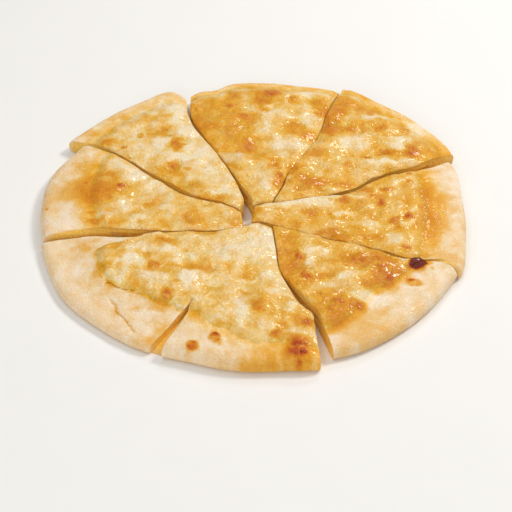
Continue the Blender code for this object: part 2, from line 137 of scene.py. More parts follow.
NORTH = Wedge(
    first_cut="north_northeast", first_start=0.8,
    second_cut="northwest_north", second_start=2.2,
    radius=145.6, swells=[(114.0, 9.0, -11.5), (101.5, 3.4, -5.0), (68.0, 5.0, 2.2)],
    top=12.3, border_width=26.0, border_drop=1.6, shoulder=6.5, belly=5.5,
    bare=[(0.0, 8.0), (0.5, 9.0), (1.0, 8.0)], cheese=1.6,
    bumps=[
        (-10, 41, 9, 17, 2.2), (10, 38, 9, 15, 1.6), (-4, 65, 26, 4.5, -2.4),
        (-20, 92, 15, 14, 2.3), (12, 84, 8, 24, 1.1), (10, 127, 13, 9, 1.6),
    ],
    bake=0.38, fade=8.0,
    marks=[
        # (-43, 97) darkens the strip along the north-west cut: amber with painted shade where the
        # surface dips to the cut.
        (-22, 90, 24, 26, 0.2), (-43, 97, 5, 14, 0.16), (10, 129, 9, 8, 0.4),
        (3, 123, 6, 6, 0.28), (2, 116, 4, 5, 0.14), (-6, 141, 5, 4, 0.16), (-15, 128, 7, 6, 0.16),
        (-36, 118, 6, 6, 0.14), (-22, 116, 5, 4, 0.18), (-8, 101, 5, 5, 0.2),
        (-4, 69, 5, 7, 0.24), (-12, 63, 12, 2, 0.14), (-16, 46, 3, 5, 0.15), (4, 57, 7, 6, 0.16),
        (12, 47, 4, 6, 0.24), (15, 31, 4, 7, 0.34), (25, 43, 3, 5, 0.3), (26, 122, 6, 5, 0.22),
        (45, 111, 5, 6, 0.3), (49, 107, 2, 5, 0.26), (42, 119, 5, 4, 0.12), (20, 92, 8, 4, 0.16),
        (28, 86, 8, 5, 0.22), (36, 80, 5, 4, 0.3), (8, 92, 5, 11, -0.24), (14, 107, 5, 5, -0.2),
        (35, 100, 6, 8, -0.18), (25, 70, 9, 6, -0.14), (36, 129, 8, 5, -0.26),
        (6, 23, 5, 6, -0.18), (-8, 28, 5, 6, 0.08), (-12, 53, 8, 5, -0.1), (14, 70, 6, 8, -0.16),
        (-30, 131, 7, 4, -0.06), (3, 38, 7, 5, -0.08),
    ],
    spots=[
        (7, 109, 3, 2.6, 0.4, 0.22), (-19, 113, 3, 3, 0.5, 0.16), (-42, 109, 2, 2, 0.3, 0.18),
        (26, 122, 4, 4, 0.6, 0.1), (31, 118, 2, 2.5, 0.3, 0.1), (11, 129, 5, 5, 0.4, 0.05),
        (-9, 101, 3, 3, 0.3, 0.08), (14, 45, 2, 3, 0.4, 0.12), (10, 52, 2, 2, 0.4, 0.1),
        (5, 58, 3, 2, 0.4, 0.06), (16, 36, 2, 3, 0.4, 0.1), (-4, 68, 3, 4, 0.3, 0.06),
    ],
)
NORTHEAST = Wedge(
    first_cut="northeast_east", first_start=17.5,
    second_cut="north_northeast", second_start=2.0,
    radius=148.0, swells=[(30.0, 10.0, 3.0), (46.0, 8.0, 2.6), (62.0, 7.0, 5.0)],
    top=12.9, border_width=26.0, border_drop=1.6, shoulder=6.5, belly=5.5,
    bare=[(0.0, 9.0), (0.5, 12.0), (1.0, 8.0)], cheese=1.6,
    bumps=[
        (107, 62, 9, 9, 1.9), (53, 94, 7, 25, 1.3), (84, 86, 13, 10, 1.7), (72, 62, 14, 7, -1.8),
        (34, 32, 11, 12, 1.4), (86, 48, 20, 5, 0.8), (62, 29, 16, 6, -2), (84, 40, 14, 4, -1.4),
    ],
    bake=0.44, fade=12.0,
    marks=[
        (49, 86, 6, 6, 0.44), (54, 84, 5, 3, 0.18), (47, 95, 4, 6, 0.24), (52, 103, 5, 8, 0.36),
        (61, 119, 6, 7, 0.26), (58, 106, 4, 6, 0.22), (72, 112, 8, 7, 0.14), (85, 108, 8, 3, 0.2),
        (66, 86, 7, 5, 0.24), (78, 93, 6, 3, 0.14), (88, 88, 5, 6, 0.2), (83, 86, 3, 4, 0.14),
        (103, 86, 5, 5, 0.24), (95, 79, 4, 2, 0.16), (88, 61, 7, 3, 0.26), (75, 55, 4, 3, 0.22),
        (64, 47, 5, 4, 0.16), (105, 62, 7, 9, 0.3), (125, 61, 8, 4, 0.2), (118, 70, 6, 6, 0.1),
        # (48, 28) along the lower edge by the cut: amber with painted shade on the slope turned
        # downward.
        (40, 59, 7, 4, 0.24), (34, 28, 9, 9, 0.28), (24, 43, 3, 5, 0.26), (48, 28, 18, 4, 0.2),
        (66, 72, 11, 6, -0.22), (53, 67, 6, 6, -0.1), (42, 39, 6, 5, -0.12),
        (98, 71, 6, 7, -0.36), (80, 49, 13, 4, -0.24), (95, 50, 8, 3, -0.18),
        (84, 102, 8, 3, -0.26), (70, 66, 4, 5, -0.12), (110, 90, 7, 8, -0.3),
        (18, 18, 5, 7, -0.06), (94, 62, 3, 4, -0.1), (28, 46, 4, 4, 0.08),
    ],
    spots=[
        (106, 60, 4.5, 6, 0.8, 0.12), (105, 68, 5, 4, 0.5, 0.04), (95, 105, 2, 1.8, 0.3, 0.12),
        (101, 102, 2, 1.5, 0.3, 0.14), (88, 88, 3.5, 4.5, 0.7, 0.1), (80, 92, 3, 3, 0.5, 0.08),
        (83, 84, 2.5, 3, 0.5, 0.08), (92, 96, 3, 2.5, 0.5, 0.02), (75, 55, 3.5, 2.6, 0.4, 0.1),
        (88, 61, 5, 2.6, 0.4, 0.08), (90, 79, 3, 3, 0.5, 0.08), (103, 86, 3, 3, 0.4, 0.06),
        (97, 79, 3, 1.5, 0.3, 0.08), (66, 86, 4, 3, 0.3, 0.05), (61, 47, 2.5, 2.5, 0.3, 0.06),
    ],
)
EAST = Wedge(
    first_cut="east_southeast", first_start=0.6,
    second_cut="northeast_east", second_start=0.6,
    radius=138.7, swells=[(20.0, 9.0, 5.8), (-23.0, 8.0, 4.4)],
    top=11.9, border_width=24.0, border_drop=0.8, shoulder=8.0, belly=5.8,
    bare=[(0.0, 28.0), (0.5, 25.0), (1.0, 27.0)], cheese=1.5,
    bumps=[
        (44, 11, 29, 3.8, 3.2), (4, -1, 8, 8, 1.4), (45, -2, 26, 5, -1.6), (116, 18, 12, 30, 1.3),
        (82, -12, 15, 11, -1), (62, 26, 12, 5, -1),
    ],
    bake=0.46, fade=16.0,
    marks=[
        (73, 21, 5, 3, 0.22), (86, 22, 5, 3, 0.24), (78, 14, 5, 6, 0.16), (82, 9, 4, 5, 0.22),
        (57, 9, 5, 3.5, 0.3), (66, 5, 6, 4, 0.12), (34, -1, 6, 5, 0.22), (49, -4, 3, 4, 0.2),
        (90, -9, 4, 5, 0.24), (92, -15, 4, 3, 0.14), (45, -22, 11, 3, 0.28),
        (68, -26, 12, 3, 0.2), (66, -19, 5, 4, 0.14), (95, -35, 4, 3, 0.18),
        (113, -2, 12, 27, 0.18), (118, -13, 7, 11, 0.12), (122, 11, 6, 8, 0.14),
        (112, 21, 8, 6, 0.08), (121, -42, 7, 5, 0.2), (99, -5, 4, 6, 0.24), (-2, -4, 3, 5, 0.14),
        # (56, -2), (96, -13) and (103, 1) are paler, partly painted highlights: glints on the
        # cheese and beside the blister at (99, -5).
        (76, -3, 4, 4, 0.14), (28, 8, 24, 5, -0.32), (62, 13, 9, 2, -0.22), (56, -2, 5, 3, -0.22),
        (96, -13, 4, 6, -0.2), (103, 1, 3, 5, -0.2), (131, -8, 7, 22, 0.06),
        (128, -44, 7, 10, 0.06), (75, -14, 8, 5, -0.12), (104, 16, 6, 5, -0.04),
        (90, -27, 7, 4, -0.12), (10, -6, 7, 4, -0.06), (20, -10, 10, 3, 0.08),
        (132, 36, 5, 10, -0.14), (94, 30, 8, 4, -0.06),
    ],
    spots=[
        (99, -5, 2.8, 4.2, 0.6, 0.14), (102, 39, 2, 1.5, 0.2, 0.34),
        (102, 31, 2.5, 1.6, 0.3, 0.24), (73, 21, 4, 2.4, 0.4, 0.06), (87, 22, 4, 2.4, 0.4, 0.08),
        (82, 9, 3, 3.5, 0.5, 0.1), (57, 9, 3.5, 2.6, 0.3, 0.06), (33, -1, 4, 3, 0.3, 0.04),
        (49, -4, 2.4, 3, 0.3, 0.06), (90, -9, 3, 3.5, 0.5, 0.1), (78, 15, 3, 3, 0.5, 0.04),
        (93, 3, 3, 3, 0.5, -0.02), (95, -35, 3, 2, 0.3, 0.08), (72, -2, 3, 3, 0.4, 0.04),
        (84, -4, 3, 3, 0.5, 0.02),
    ],
)
SOUTHEAST = Wedge(
    first_cut="southeast_south", first_start=2.0,
    second_cut="east_southeast", second_start=14.6,
    radius=139.5, swells=[(-24.0, 4.0, 1.0), (-70.0, 5.0, -1.5)],
    top=12.1, border_width=34.0, border_drop=1.8, shoulder=8.0, belly=4.8,
    bare=[(0.0, 16.0), (0.25, 20.0), (0.45, 29.0), (0.8, 26.0), (1.0, 20.0)], cheese=1.5,
    bumps=[
        (75, -52, 17, 11, 2.4), (101, -50, 5, 5, 2.6), (21, -52, 7, 16, -1.9),
        (44, -68, 13, 7, -1.6), (53, -92, 14, 11, 1.6), (30, -30, 13, 6, 0.8),
        (88, -44, 14, 5, -1.8),
    ],
    bake=0.48, fade=6.0,
    marks=[
        # (20, -48) darkens the strip along the cut to the south: amber with painted shade on the
        # side turned from the light.
        (20, -48, 6, 20, 0.22), (27, -45, 3.5, 4, 0.24), (28, -52, 4, 5, 0.2),
        (31, -60, 4, 6, 0.34), (41, -62, 9, 1.6, 0.2), (32, -70, 6, 5, 0.16),
        (66, -48, 8, 7, 0.46), (55, -49, 6, 5, 0.2), (81, -49, 7, 6, 0.42), (80, -60, 7, 7, 0.5),
        (83, -70, 4, 6, 0.42), (71, -69, 6, 5, 0.24), (91, -60, 4, 6, 0.2), (101, -51, 7, 8, 0.2),
        (48, -88, 9, 10, 0.26), (50, -87, 4, 5, 0.16), (63, -88, 5, 6, 0.3),
        (56, -103, 15, 7, 0.24), (72, -94, 8, 3.5, 0.22), (80, -90, 4, 3, 0.16),
        # (34, -51) is paler for painted highlights: white streaks on a slope facing the light.
        (66, -79, 8, 7, -0.26), (56, -62, 9, 5, -0.24), (34, -51, 3, 8, -0.3),
        (41, -72, 8, 4, -0.16), (33, -37, 9, 5, -0.16), (44, -41, 10, 3, -0.12),
        (75, -82, 4, 5, -0.18), (90, -46, 5, 4, -0.2), (44, -54, 6, 4, -0.04),
        (67, -117, 8, 5, 0.12), (50, -120, 6, 5, 0.08), (80, -110, 20, 9, 0.2),
        (62, -38, 7, 3, -0.08), (20, -28, 6, 5, 0.06),
    ],
    spots=[
        (101.5, -50.5, 6, 6.6, 1.7, 0.5), (98, -66, 5.5, 3.6, 0.2, 0.5),
        (96, -62, 3, 3, 0.1, 0.2), (111, -53, 1.4, 1.8, 0.2, 0.34), (27, -45, 2.6, 3, 0.4, 0.1),
        (31, -61, 3, 4, 0.4, 0.05), (64, -47, 4, 4, 0.5, 0.02), (69, -50, 3.5, 4, 0.5, 0.03),
        (79, -57, 3, 4, 0.5, 0.03), (83, -63, 2.6, 4, 0.4, 0.06), (50, -86, 3, 4, 0.5, 0.08),
        (45, -92, 3, 3, 0.4, 0.05), (64, -88, 3, 4, 0.4, 0.05), (76, -48, 3, 3, 0.5, 0.02),
        (37, -37, 2.5, 2, 0.3, 0.1), (45, -37, 2.5, 2, 0.3, 0.1), (55, -80, 3, 3, 0.4, 0.05),
    ],
)
SOUTHWEST = Wedge(
    first_cut="southwest_west", first_start=0.6,
    second_cut="slit", second_start=0.0,
    radius=139.8, swells=[(215.0, 9.0, 2.0), (246.0, 5.0, -1.0)],
    top=12.0, border_width=52.0, border_drop=4.8, shoulder=6.0, belly=3.2,
    bare=[(0.0, 60.0), (0.2, 28.0), (0.45, 24.0), (0.75, 31.0), (1.0, 33.0)], cheese=1.7,
    bumps=[
        (-95, -52, 8, 14, 1.4), (-80, -42, 16, 5, 0.9), (-55, -60, 15, 12, 1),
        (-72, -66, 9, 9, -0.9), (-60, -31, 20, 6, 0.8),
    ],
    bake=0.31, fade=1.5,
    marks=[
        (-58, -31, 8, 4, 0.28), (-38, -55, 9, 5, 0.28), (-64, -55, 6, 4, 0.36),
        (-53, -57, 6, 3, 0.2), (-68, -47, 5, 5, 0.16), (-54, -79, 5, 5, 0.32),
        # (-98, -58) is painted shade on the shaded side of the cheese's raised edge.
        (-58, -87, 7, 5, 0.22), (-98, -58, 3, 8, 0.24), (-91, -71, 6, 5, 0.22),
        (-83, -44, 9, 2, 0.18), (-75, -73, 5, 8, 0.18), (-66, -80, 5, 5, 0.12),
        (-107, -35, 10, 6, 0.2), (-89, -35, 6, 4, 0.14), (-32, -22, 8, 3, 0.26),
        (-44, -40, 3, 2, 0.1), (-56, -107, 4, 5, 0.24), (-62, -114, 4, 3, 0.2),
        (-58, -98, 5, 4, 0.14), (-74, -90, 3, 3, 0.14), (-93, -52, 4, 6, 0.14),
        (-76, -49, 8, 5, -0.24), (-43, -66, 5, 6, -0.28), (-60, -65, 6, 4, -0.16),
        (-48, -46, 9, 6, -0.1), (-86, -62, 5, 5, -0.08), (-75, -37, 9, 3, -0.14),
        (-65, -93, 7, 4, -0.12), (-78, -57, 4, 5, -0.06),
    ],
    spots=[
        (-63, -55, 3.5, 2.6, 0.5, 0.12), (-54, -79, 3.4, 3.6, 0.6, 0.12),
        (-68, -46, 3, 3, 0.5, 0.06), (-83, -53, 3, 2.6, 0.4, 0.06), (-93, -54, 2.6, 4, 0.4, 0.04),
        (-74, -71, 2.6, 4, 0.4, 0.06), (-58, -31, 3, 2.4, 0.3, 0.06), (-50, -72, 3, 3, 0.5, 0.02),
        (-88, -68, 3, 3, 0.4, 0.04),
    ],
)
SOUTH = Wedge(
    first_cut="slit", first_start=0.0,
    second_cut="southeast_south", second_start=1.0,
    radius=140.4, swells=[(-73.0, 6.0, 3.5), (-106.0, 9.0, -2.5)],
    top=12.0, border_width=30.0, border_drop=0.8, shoulder=9.0, belly=5.0,
    bare=[(0.0, 33.0), (0.3, 22.0), (0.6, 14.0), (1.0, 10.0)], cheese=1.6,
    bumps=[
        (2, -18, 11, 5, 2), (-12, -46, 16, 13, 1.6), (-5, -66, 13, 5, -1.9),
        (27, -125, 9, 9, 1.5), (3, -92, 12, 11, 1.5), (-20, -117, 6, 7, 0.9),
    ],
    bake=0.31, fade=10.0,
    marks=[
        (13, -114, 4, 5, 0.32), (31, -103, 6, 5, 0.34), (18, -104, 6, 6, 0.2),
        (3, -91, 6, 8, 0.34), (-4, -78, 7, 3, 0.16), (-6, -63, 5, 2, 0.24), (-4, -56, 6, 5, 0.14),
        (-25, -74, 5, 2, 0.14), (-36, -97, 5, 7, 0.18), (-19, -106, 6, 5, 0.18),
        (-23, -90, 3, 2, 0.14), (0, -107, 4, 4, 0.12), (15, -132, 26, 9, 0.2),
        (26, -123, 9, 10, 0.26), (0, -36, 22, 16, -0.15), (-31, -114, 5, 5, 0.08),
        (-21, -120, 3, 3, 0.2), (24, -96, 10, 4, 0.14), (-12, -95, 6, 5, -0.12),
        # (12, -25) and (13, -66) are paler for painted highlights: light on the tip's right edge
        # and glints on the cheese.
        (-8, -105, 4, 5, -0.12), (12, -25, 6, 8, -0.08), (13, -66, 6, 6, -0.12),
        # (2, -146) and (-20, -139) darken the front rim: baked dough with painted shade on its
        # face turned from the light.
        (8, -108, 4, 4, -0.06), (22, -92, 4, 3, -0.1), (2, -146, 50, 5, 0.16),
        (-20, -139, 26, 6, 0.14), (20, -84, 6, 3, 0.12),
    ],
    spots=[
        (-24, -116, 3.8, 4.8, 1, 0.56), (-21, -120, 2.4, 2.6, 0.3, 0.1),
        (-37, -122, 4, 3.8, 0.8, 0.64), (25.5, -123, 7.8, 9, 1.2, 0.18),
        (29, -128, 3, 2.2, 0.3, 0.06), (26, -134, 2.6, 1.6, 0.2, 0.14),
        (13, -114, 3, 3.4, 0.5, 0.1), (32, -103, 3.6, 3, 0.5, 0.1), (3, -91, 3.4, 4.4, 0.3, 0.04),
        (20, -116, 3, 3, 0.5, 0.1),
    ],
)
WEST = Wedge(
    first_cut="west_northwest", first_start=1.0,
    second_cut="southwest_west", second_start=1.2,
    radius=139.2, swells=[(153.0, 5.0, -2.0), (190.0, 4.0, -1.2), (168.0, 8.0, 2.2)],
    top=12.5, border_width=28.0, border_drop=1.6, shoulder=8.5, belly=5.2,
    bare=[(0.0, 22.0), (0.5, 30.0), (1.0, 34.0)], cheese=1.5,
    bumps=[
        (-108, 16, 18, 12, 2.1), (-92, 36, 20, 12, 0.8), (-72, 8, 13, 9, -1),
        (-45, -4, 17, 8, 0.9), (-100, -12, 10, 6, 0.9), (-88, -2, 12, 5, -1.4),
    ],
    bake=0.37, fade=18.0,
    marks=[
        (-110, 20, 18, 13, 0.36), (-104, 13, 9, 9, 0.2), (-112, 28, 3, 2, 0.12),
        (-89, 24, 4, 4, 0.28), (-93, 19, 4, 4, 0.14), (-117, 46, 8, 8, 0.18),
        (-98, 35, 9, 3, 0.16), (-103, -12, 6, 4, 0.3), (-106, -5, 4, 5, 0.18),
        (-91, -14, 4, 3, 0.14), (-70, 6, 6, 6, 0.16), (-45, -5, 6, 7, 0.16),
        (-42, -13, 5, 4, 0.18), (-28, -11, 8, 5, 0.16), (-13, -12, 5, 4, 0.16),
        (-80, 32, 9, 8, -0.24), (-93, 46, 6, 5, -0.16), (-67, 20, 7, 6, -0.14),
        (-133, 16, 6, 14, 0.1), (-122, -12, 9, 8, -0.12), (-85, 6, 6, 6, -0.1),
        (-57, 4, 6, 6, -0.12), (-34, 0, 6, 3, -0.12), (-78, -8, 5, 4, -0.1),
        (-52, -14, 4, 3, -0.06), (-62, -12, 5, 4, 0.1), (-82, 15, 4, 4, 0.08),
    ],
    spots=[
        (-89, 24, 3, 3, 0.5, 0.12), (-103, -12, 4, 2.6, 0.5, 0.1), (-136, 3, 1.4, 1.7, 0.4, 0.44),
        (-106, -4, 2.6, 3, 0.4, 0.06), (-97, -8, 3, 3, 0.5, 0.02), (-70, 5, 3, 3, 0.4, 0.04),
        (-77, -2, 3, 3, 0.4, 0.04), (-44, -8, 3, 3, 0.4, 0.05), (-112, 27, 2, 1.6, 0.2, 0.1),
    ],
)
NORTHWEST = Wedge(
    first_cut="northwest_north", first_start=5.0,
    second_cut="west_northwest", second_start=2.8,
    radius=145.6, swells=[(110.4, 2.2, -14.6), (117.0, 3.5, 2.4), (150.0, 4.0, 2.2)],
    top=13.0, border_width=28.0, border_drop=2.0, shoulder=7.0, belly=5.2,
    bare=[(0.0, 16.0), (0.5, 15.0), (1.0, 17.0)], cheese=1.6,
    bumps=[
        (-58, 66, 12, 11, 2.1), (-40, 32, 14, 12, 1.4), (-84, 82, 16, 7, -1.6),
        (-66, 92, 13, 9, 0.9), (-62, 44, 10, 6, -1), (-18, 14, 9, 6, 0.9),
    ],
    bake=0.30, fade=14.0,
    marks=[
        (-102, 70, 7, 5, 0.26), (-96, 83, 3, 5, 0.14), (-66, 81, 9, 6, 0.24),
        (-54, 66, 6, 8, 0.34), (-56, 46, 5, 5, 0.26), (-60, 36, 10, 8, 0.24),
        # (-50, 22) and (-28, 11) darken the band along the lower edge by the west cut: amber with
        # painted shade on the side turned from the light.
        (-50, 22, 12, 5, 0.22), (-28, 11, 14, 4, 0.24), (-42, 24, 5, 4, 0.08),
        (-113, 84, 10, 6, 0.18), (-95, 103, 8, 4, 0.12), (-100, 92, 5, 4, 0.1),
        (-75, 96, 6, 4, 0.14), (-65, 97, 5, 4, 0.1), (-90, 54, 6, 2, 0.22),
        (-45, 84, 7, 7, -0.22), (-55, 104, 6, 12, -0.24), (-36, 58, 6, 9, -0.26),
        (-29, 38, 7, 9, -0.12), (-52, 53, 8, 3, -0.32), (-65, 68, 5, 7, -0.22),
        # (-46, 66) is a painted highlight on the right edge of the blister at (-55, 66).
        (-84, 72, 6, 6, -0.08), (-124, 73, 3, 5, -0.3), (-46, 66, 3, 9, -0.22),
        (-18, 20, 6, 8, -0.1), (-72, 56, 6, 4, -0.06), (-38, 34, 4, 3, -0.06),
    ],
    spots=[
        (-80, 79, 2.4, 4, 0.5, 0.36), (-90, 64, 2.4, 2, 0.3, 0.3), (-102, 70, 4, 3, 0.4, 0.08),
        (-55, 66, 4, 6, 0.7, 0.12), (-56, 46, 3, 3, 0.4, 0.08), (-46, 40, 2.6, 2.4, 0.4, 0.24),
        (-66, 81, 5, 3, 0.4, 0.06), (-99, 66, 2.5, 2.5, 0.4, 0.08), (-97, 84, 2, 3, 0.3, 0.06),
        (-31, 37, 1.5, 1.5, 0.2, 0.14), (-36, 50, 1.5, 1.5, 0.2, 0.12),
        (-24, 47, 1.5, 1.5, 0.2, 0.12),
    ],
)

PIECES = {
    "slice_north": [NORTH],
    "slice_northeast": [NORTHEAST],
    "slice_east": [EAST],
    "slice_southeast": [SOUTHEAST],
    "slice_front_double": [SOUTHWEST, SOUTH],
    "slice_west": [WEST],
    "slice_northwest": [NORTHWEST],
}

# A crack in the bare dough at the front left, from the cheese out to the rim: its
# line, width and depth, how much darker it is, baked colour and painted shade in the
# crease, and the waves that its line wanders in.
CRACK = [(-89, -80), (-85, -85), (-84.5, -90), (-79.5, -96), (-75, -103), (-70.5, -111)]
CRACK_WIDTH = 0.7
CRACK_DEPTH = 1.0
CRACK_BAKE_AND_SHADE = 0.34
CRACK_WAVES = [(2.0, 0.6, 40)]

# Relief, as the width of a swell, its height and the offset of its seed. The filling
# has no offset here, only how far its edge stays back from the cuts and from its end.
DOUGH_WAVES = [(9.0, 0.28, 1), (3.0, 0.10, 2), (1.4, 0.05, 3)]
DOUGH_FADE = 3.0
CURD_WAVES = [(11.0, 0.40, 30), (6.0, 0.26, 31), (1.8, 0.05, 33)]
CURD_RIDGES = (3.6, 0.13, 32)
WALL_PITS = (1.3, 0.22, 61)
FILLING_WAVES = (3.0, 0.5)
FILLING_EDGE = 0.15
FILLING_END_GAP = 0.1

# Melted cheese: how it sinks where it is baked darker, how far in from a cut it
# rounds down, to what share, and where at the tip, how ragged its end is, how far it
# stays back from the cuts, and the widths over which it thins and settles at its end.
SUNK_CURDS = 1.6
MOST_SUNK = 0.25
CHEESE_ROUNDING = 2.4
CUT_SHARE = 0.30
TIP_LEAD = 0.3
RAGGED_END = (6.0, 1.6, 11)
DRAWN_BACK = 0.02
DRAWN_BACK_WAVES = (4.5, 0.06, 21)
CHEESE_THINNING = 7.0
CHEESE_SETTLING = 3.0
CHEESE_RISE = 0.1

# Blisters: how high they stand in the cheese and in the dough, how far they reach and
# how steep they are, how fast they darken inward, and the pale ring round them, a
# painted highlight on their edges, with its place in radii, its width and how much paler.
BLISTER_LIFT = 1.5
DOUGH_BLISTER_LIFT = 0.9
BLISTER_REACH = 1.7
BLISTER_POWER = 1.5
BLISTER_DARKENING = 1.6
HIGHLIGHT_RING_PLACE = 1.6
HIGHLIGHT_RING_WIDTH = 0.25
HIGHLIGHT_RING_PALENESS = 0.10

# How darkly things are baked, from 0 for pale to 1 for burnt, and the waves and ridges
# in it. Above WELL_BAKED it nears WELL_BAKED + BAKE_LIMIT and goes no further, but for
# blisters. BAKE_STOPS is where the six colours from pale to burnt stand.
DOUGH_BAKE = 0.22
DOUGH_CONTRAST = 0.9
UNDER_BAKE = 0.40
WALL_BAKE = 0.50
FILLING_BAKE = 0.42
BAKE_CONTRAST = 1.35
WELL_BAKED = 0.60
BAKE_LIMIT = 0.22
MARK_FALL = 0.8
MARK_POWER = 1.3
BAKE_WAVES = [(9.0, 0.07, 57), (5.0, 0.08, 55)]
BAKE_RIDGES = (2.4, 0.04, 56)
EDGE_WANDER = [(5.0, 1.6, 51, 52), (1.8, 0.5, 53, 54)]
SPOT_WANDER = 0.25
FILLING_BAKE_WAVES = (2.5, 0.08, 81)
BAKE_STOPS = (0.05, 0.28, 0.52, 0.78, 0.90, 1.00)

# How cheesy and how oily the layers are, from 0 to 1. The melted cheese looks more like
# dough in waves and towards its end, but not in the last few millimetres.
CHEESY_END = 0.45
CHEESY_WAVES = (12.0, 0.35, 72)
LEAST_CHEESY = 0.1
LAST_CHEESE = 6.0
OIL_MARGIN = 2.0
CHEESE_END_OIL = 0.35
DOUGH_OIL = 0.12
OILY_DOUGH = 0.23
WALL_OIL = 0.1
FILLING_OIL = 0.7

# Grain of the surfaces, as its size in metres, its detail and its roughness.
COARSE_GRAIN = (0.0050, 4.0, 0.6)
FINE_GRAIN = (0.0013, 2.0, 0.6)
LACE_GRAIN = (0.0019, 3.0, 0.6)
PATCH_GRAIN = (0.0110, 2.0, 0.5)
PORE_SIZE = 0.0016

# Faces that meet more sharply than this, in degrees, keep a hard edge.
SHARP_ANGLE = 50.0

# Lights: name, where it stands and how wide it is in metres, its power and its colour.
LIGHTS = (
    ("key light", (1.05, 0.55, 1.25), 0.45, 14.0, (1.0, 0.98, 0.94)),
    ("back light", (0.45, 1.2, 1.15), 0.35, 4.0, (1.0, 0.99, 0.96)),
    ("top light", (-0.25, 0.1, 1.5), 1.4, 6.0, (1.0, 0.99, 0.97)),
    ("front light", (-0.5, -1.45, 0.75), 1.2, 9.8, (1.0, 1.0, 1.0)),
)
WORLD_COLOUR = (1.0, 0.985, 0.96, 1.0)
WORLD_STRENGTH = 0.28
LOOK_AT = (2.3, -37.5, 0.0)
SENSOR_WIDTH = 36.0

# Waves that one field is the sum of, how long they are against the field's size, and
# how high their sum stands. Ridges are the same waves folded, wider and deeper.
WAVE_COUNT = 28
WAVE_LENGTHS = (1.4, 3.2)
WAVE_HEIGHT = 0.6
RIDGE_SPACING = 1.6
RIDGE_DEPTH = 2.2

# How finely the surfaces are divided, along and across a wedge.
COLUMNS = 104
CHEESE_ROWS = 124
FILLING_COLUMNS = 24
FILLING_ROWS = 96
WALL_CUTS = 5
CROWDING = 0.03

# Stretches of a dough sheet, from the top of the tip round the rim to the under side.
UNDER_CHEESE, BORDER, SHOULDER, FOOT, UNDER_SIDE = range(5)
DOUGH_ROWS = {UNDER_CHEESE: 30, BORDER: 44, SHOULDER: 16, FOOT: 7, UNDER_SIDE: 12}


def smooth_step(value):
    value = np.clip(value, 0.0, 1.0)
    return value * value * (3.0 - 2.0 * value)


def spread(value, width):
    return np.exp(-((value / width) ** 2))


def waves(place, size, seed):
    """Smooth uneven field over the plan, near -1 to 1, with swells about size wide."""
    draw = np.random.default_rng(seed)
    total = np.zeros(np.shape(place))
    for _ in range(WAVE_COUNT):
        turn = draw.uniform(0.0, 2.0 * math.pi)
        length = size * draw.uniform(*WAVE_LENGTHS)
        pull = 2.0 * math.pi / length * complex(math.cos(turn), math.sin(turn))
        phase = draw.uniform(0.0, 2.0 * math.pi)
        total += np.cos(place.real * pull.real + place.imag * pull.imag + phase)
    return total / math.sqrt(0.5 * WAVE_COUNT) * WAVE_HEIGHT


def ridged(place, size, seed):
    """Field of soft round swells with creases between them."""
    return 1.0 - RIDGE_DEPTH * np.abs(waves(place, size * RIDGE_SPACING, seed))


def summed(field, parts, place, seed):
    """Sum of fields of one kind, each with its own width, height and seed."""
    return sum(height * field(place, size, seed + offset) for size, height, offset in parts)


def ragged(part, place, seed):
    """Field of one kind that only stands out one way from zero."""
    size, height, offset = part
    return height * np.abs(waves(place, size, seed + offset))


def curve_through(points):
    """Catmull-Rom curve through the points, as a finer row of points."""
    corners = np.array(points, float)
    before = np.vstack([2.0 * corners[0] - corners[1], corners[:-1]])
    after = np.vstack([corners[1:], 2.0 * corners[-1] - corners[-2]])
    fine = []
    for index in range(len(corners) - 1):
        start = corners[index]
        end = corners[index + 1]
        pull_start = 0.5 * (end - before[index])
        pull_end = 0.5 * (after[index + 1] - start)
        for step in range(CURVE_STEPS):
            t = step / CURVE_STEPS
            fine.append(
                start * (2.0 * t**3 - 3.0 * t**2 + 1.0)
                + pull_start * (t**3 - 2.0 * t**2 + t)
                + end * (3.0 * t**2 - 2.0 * t**3)
                + pull_end * (t**3 - t**2)
            )
    fine.append(corners[-1])
    return np.array(fine)


class CutSide:
    """One side of a cut: the edge of a wedge, measured from its tip to the rim."""

    def __init__(self, cut, side):
        line = curve_through(CUTS[cut])
        middle = line[:, 0] + 1j * line[:, 1]
        run = np.empty_like(middle)
        run[1:-1] = middle[2:] - middle[:-2]
        run[0] = middle[1] - middle[0]
        run[-1] = middle[-1] - middle[-2]
        run /= np.abs(run)
        opening = np.maximum(line[:, 2], 0.0)
        self.points = middle - PLAN_MIDDLE + 1j * run * side * opening / 2.0
        self.lengths = np.concatenate([[0.0], np.cumsum(np.abs(np.diff(middle)))])

    def at(self, distance):
        return np.interp(distance, self.lengths, self.points)


def angle_of(place):
    return np.degrees(np.angle(place - RIM_MIDDLE))


def rim_radius(wedge, angle):
    radius = wedge.radius - RIM_TRIM
    for at, width, change in wedge.swells:
        away = (angle - at + 180.0) % 360.0 - 180.0
        radius = radius + change * spread(away, width)
    return radius


def rim_distance(wedge, side, start):
    """Distance along a cut's side where it meets the wedge's rim."""
    low = start
    high = side.lengths[-1]
    for _ in range(RIM_SEARCH_STEPS):
        middle = 0.5 * (low + high)
        place = side.at(middle)
        if abs(place - RIM_MIDDLE) < rim_radius(wedge, angle_of(place)):
            low = middle
        else:
            high = middle
    return low


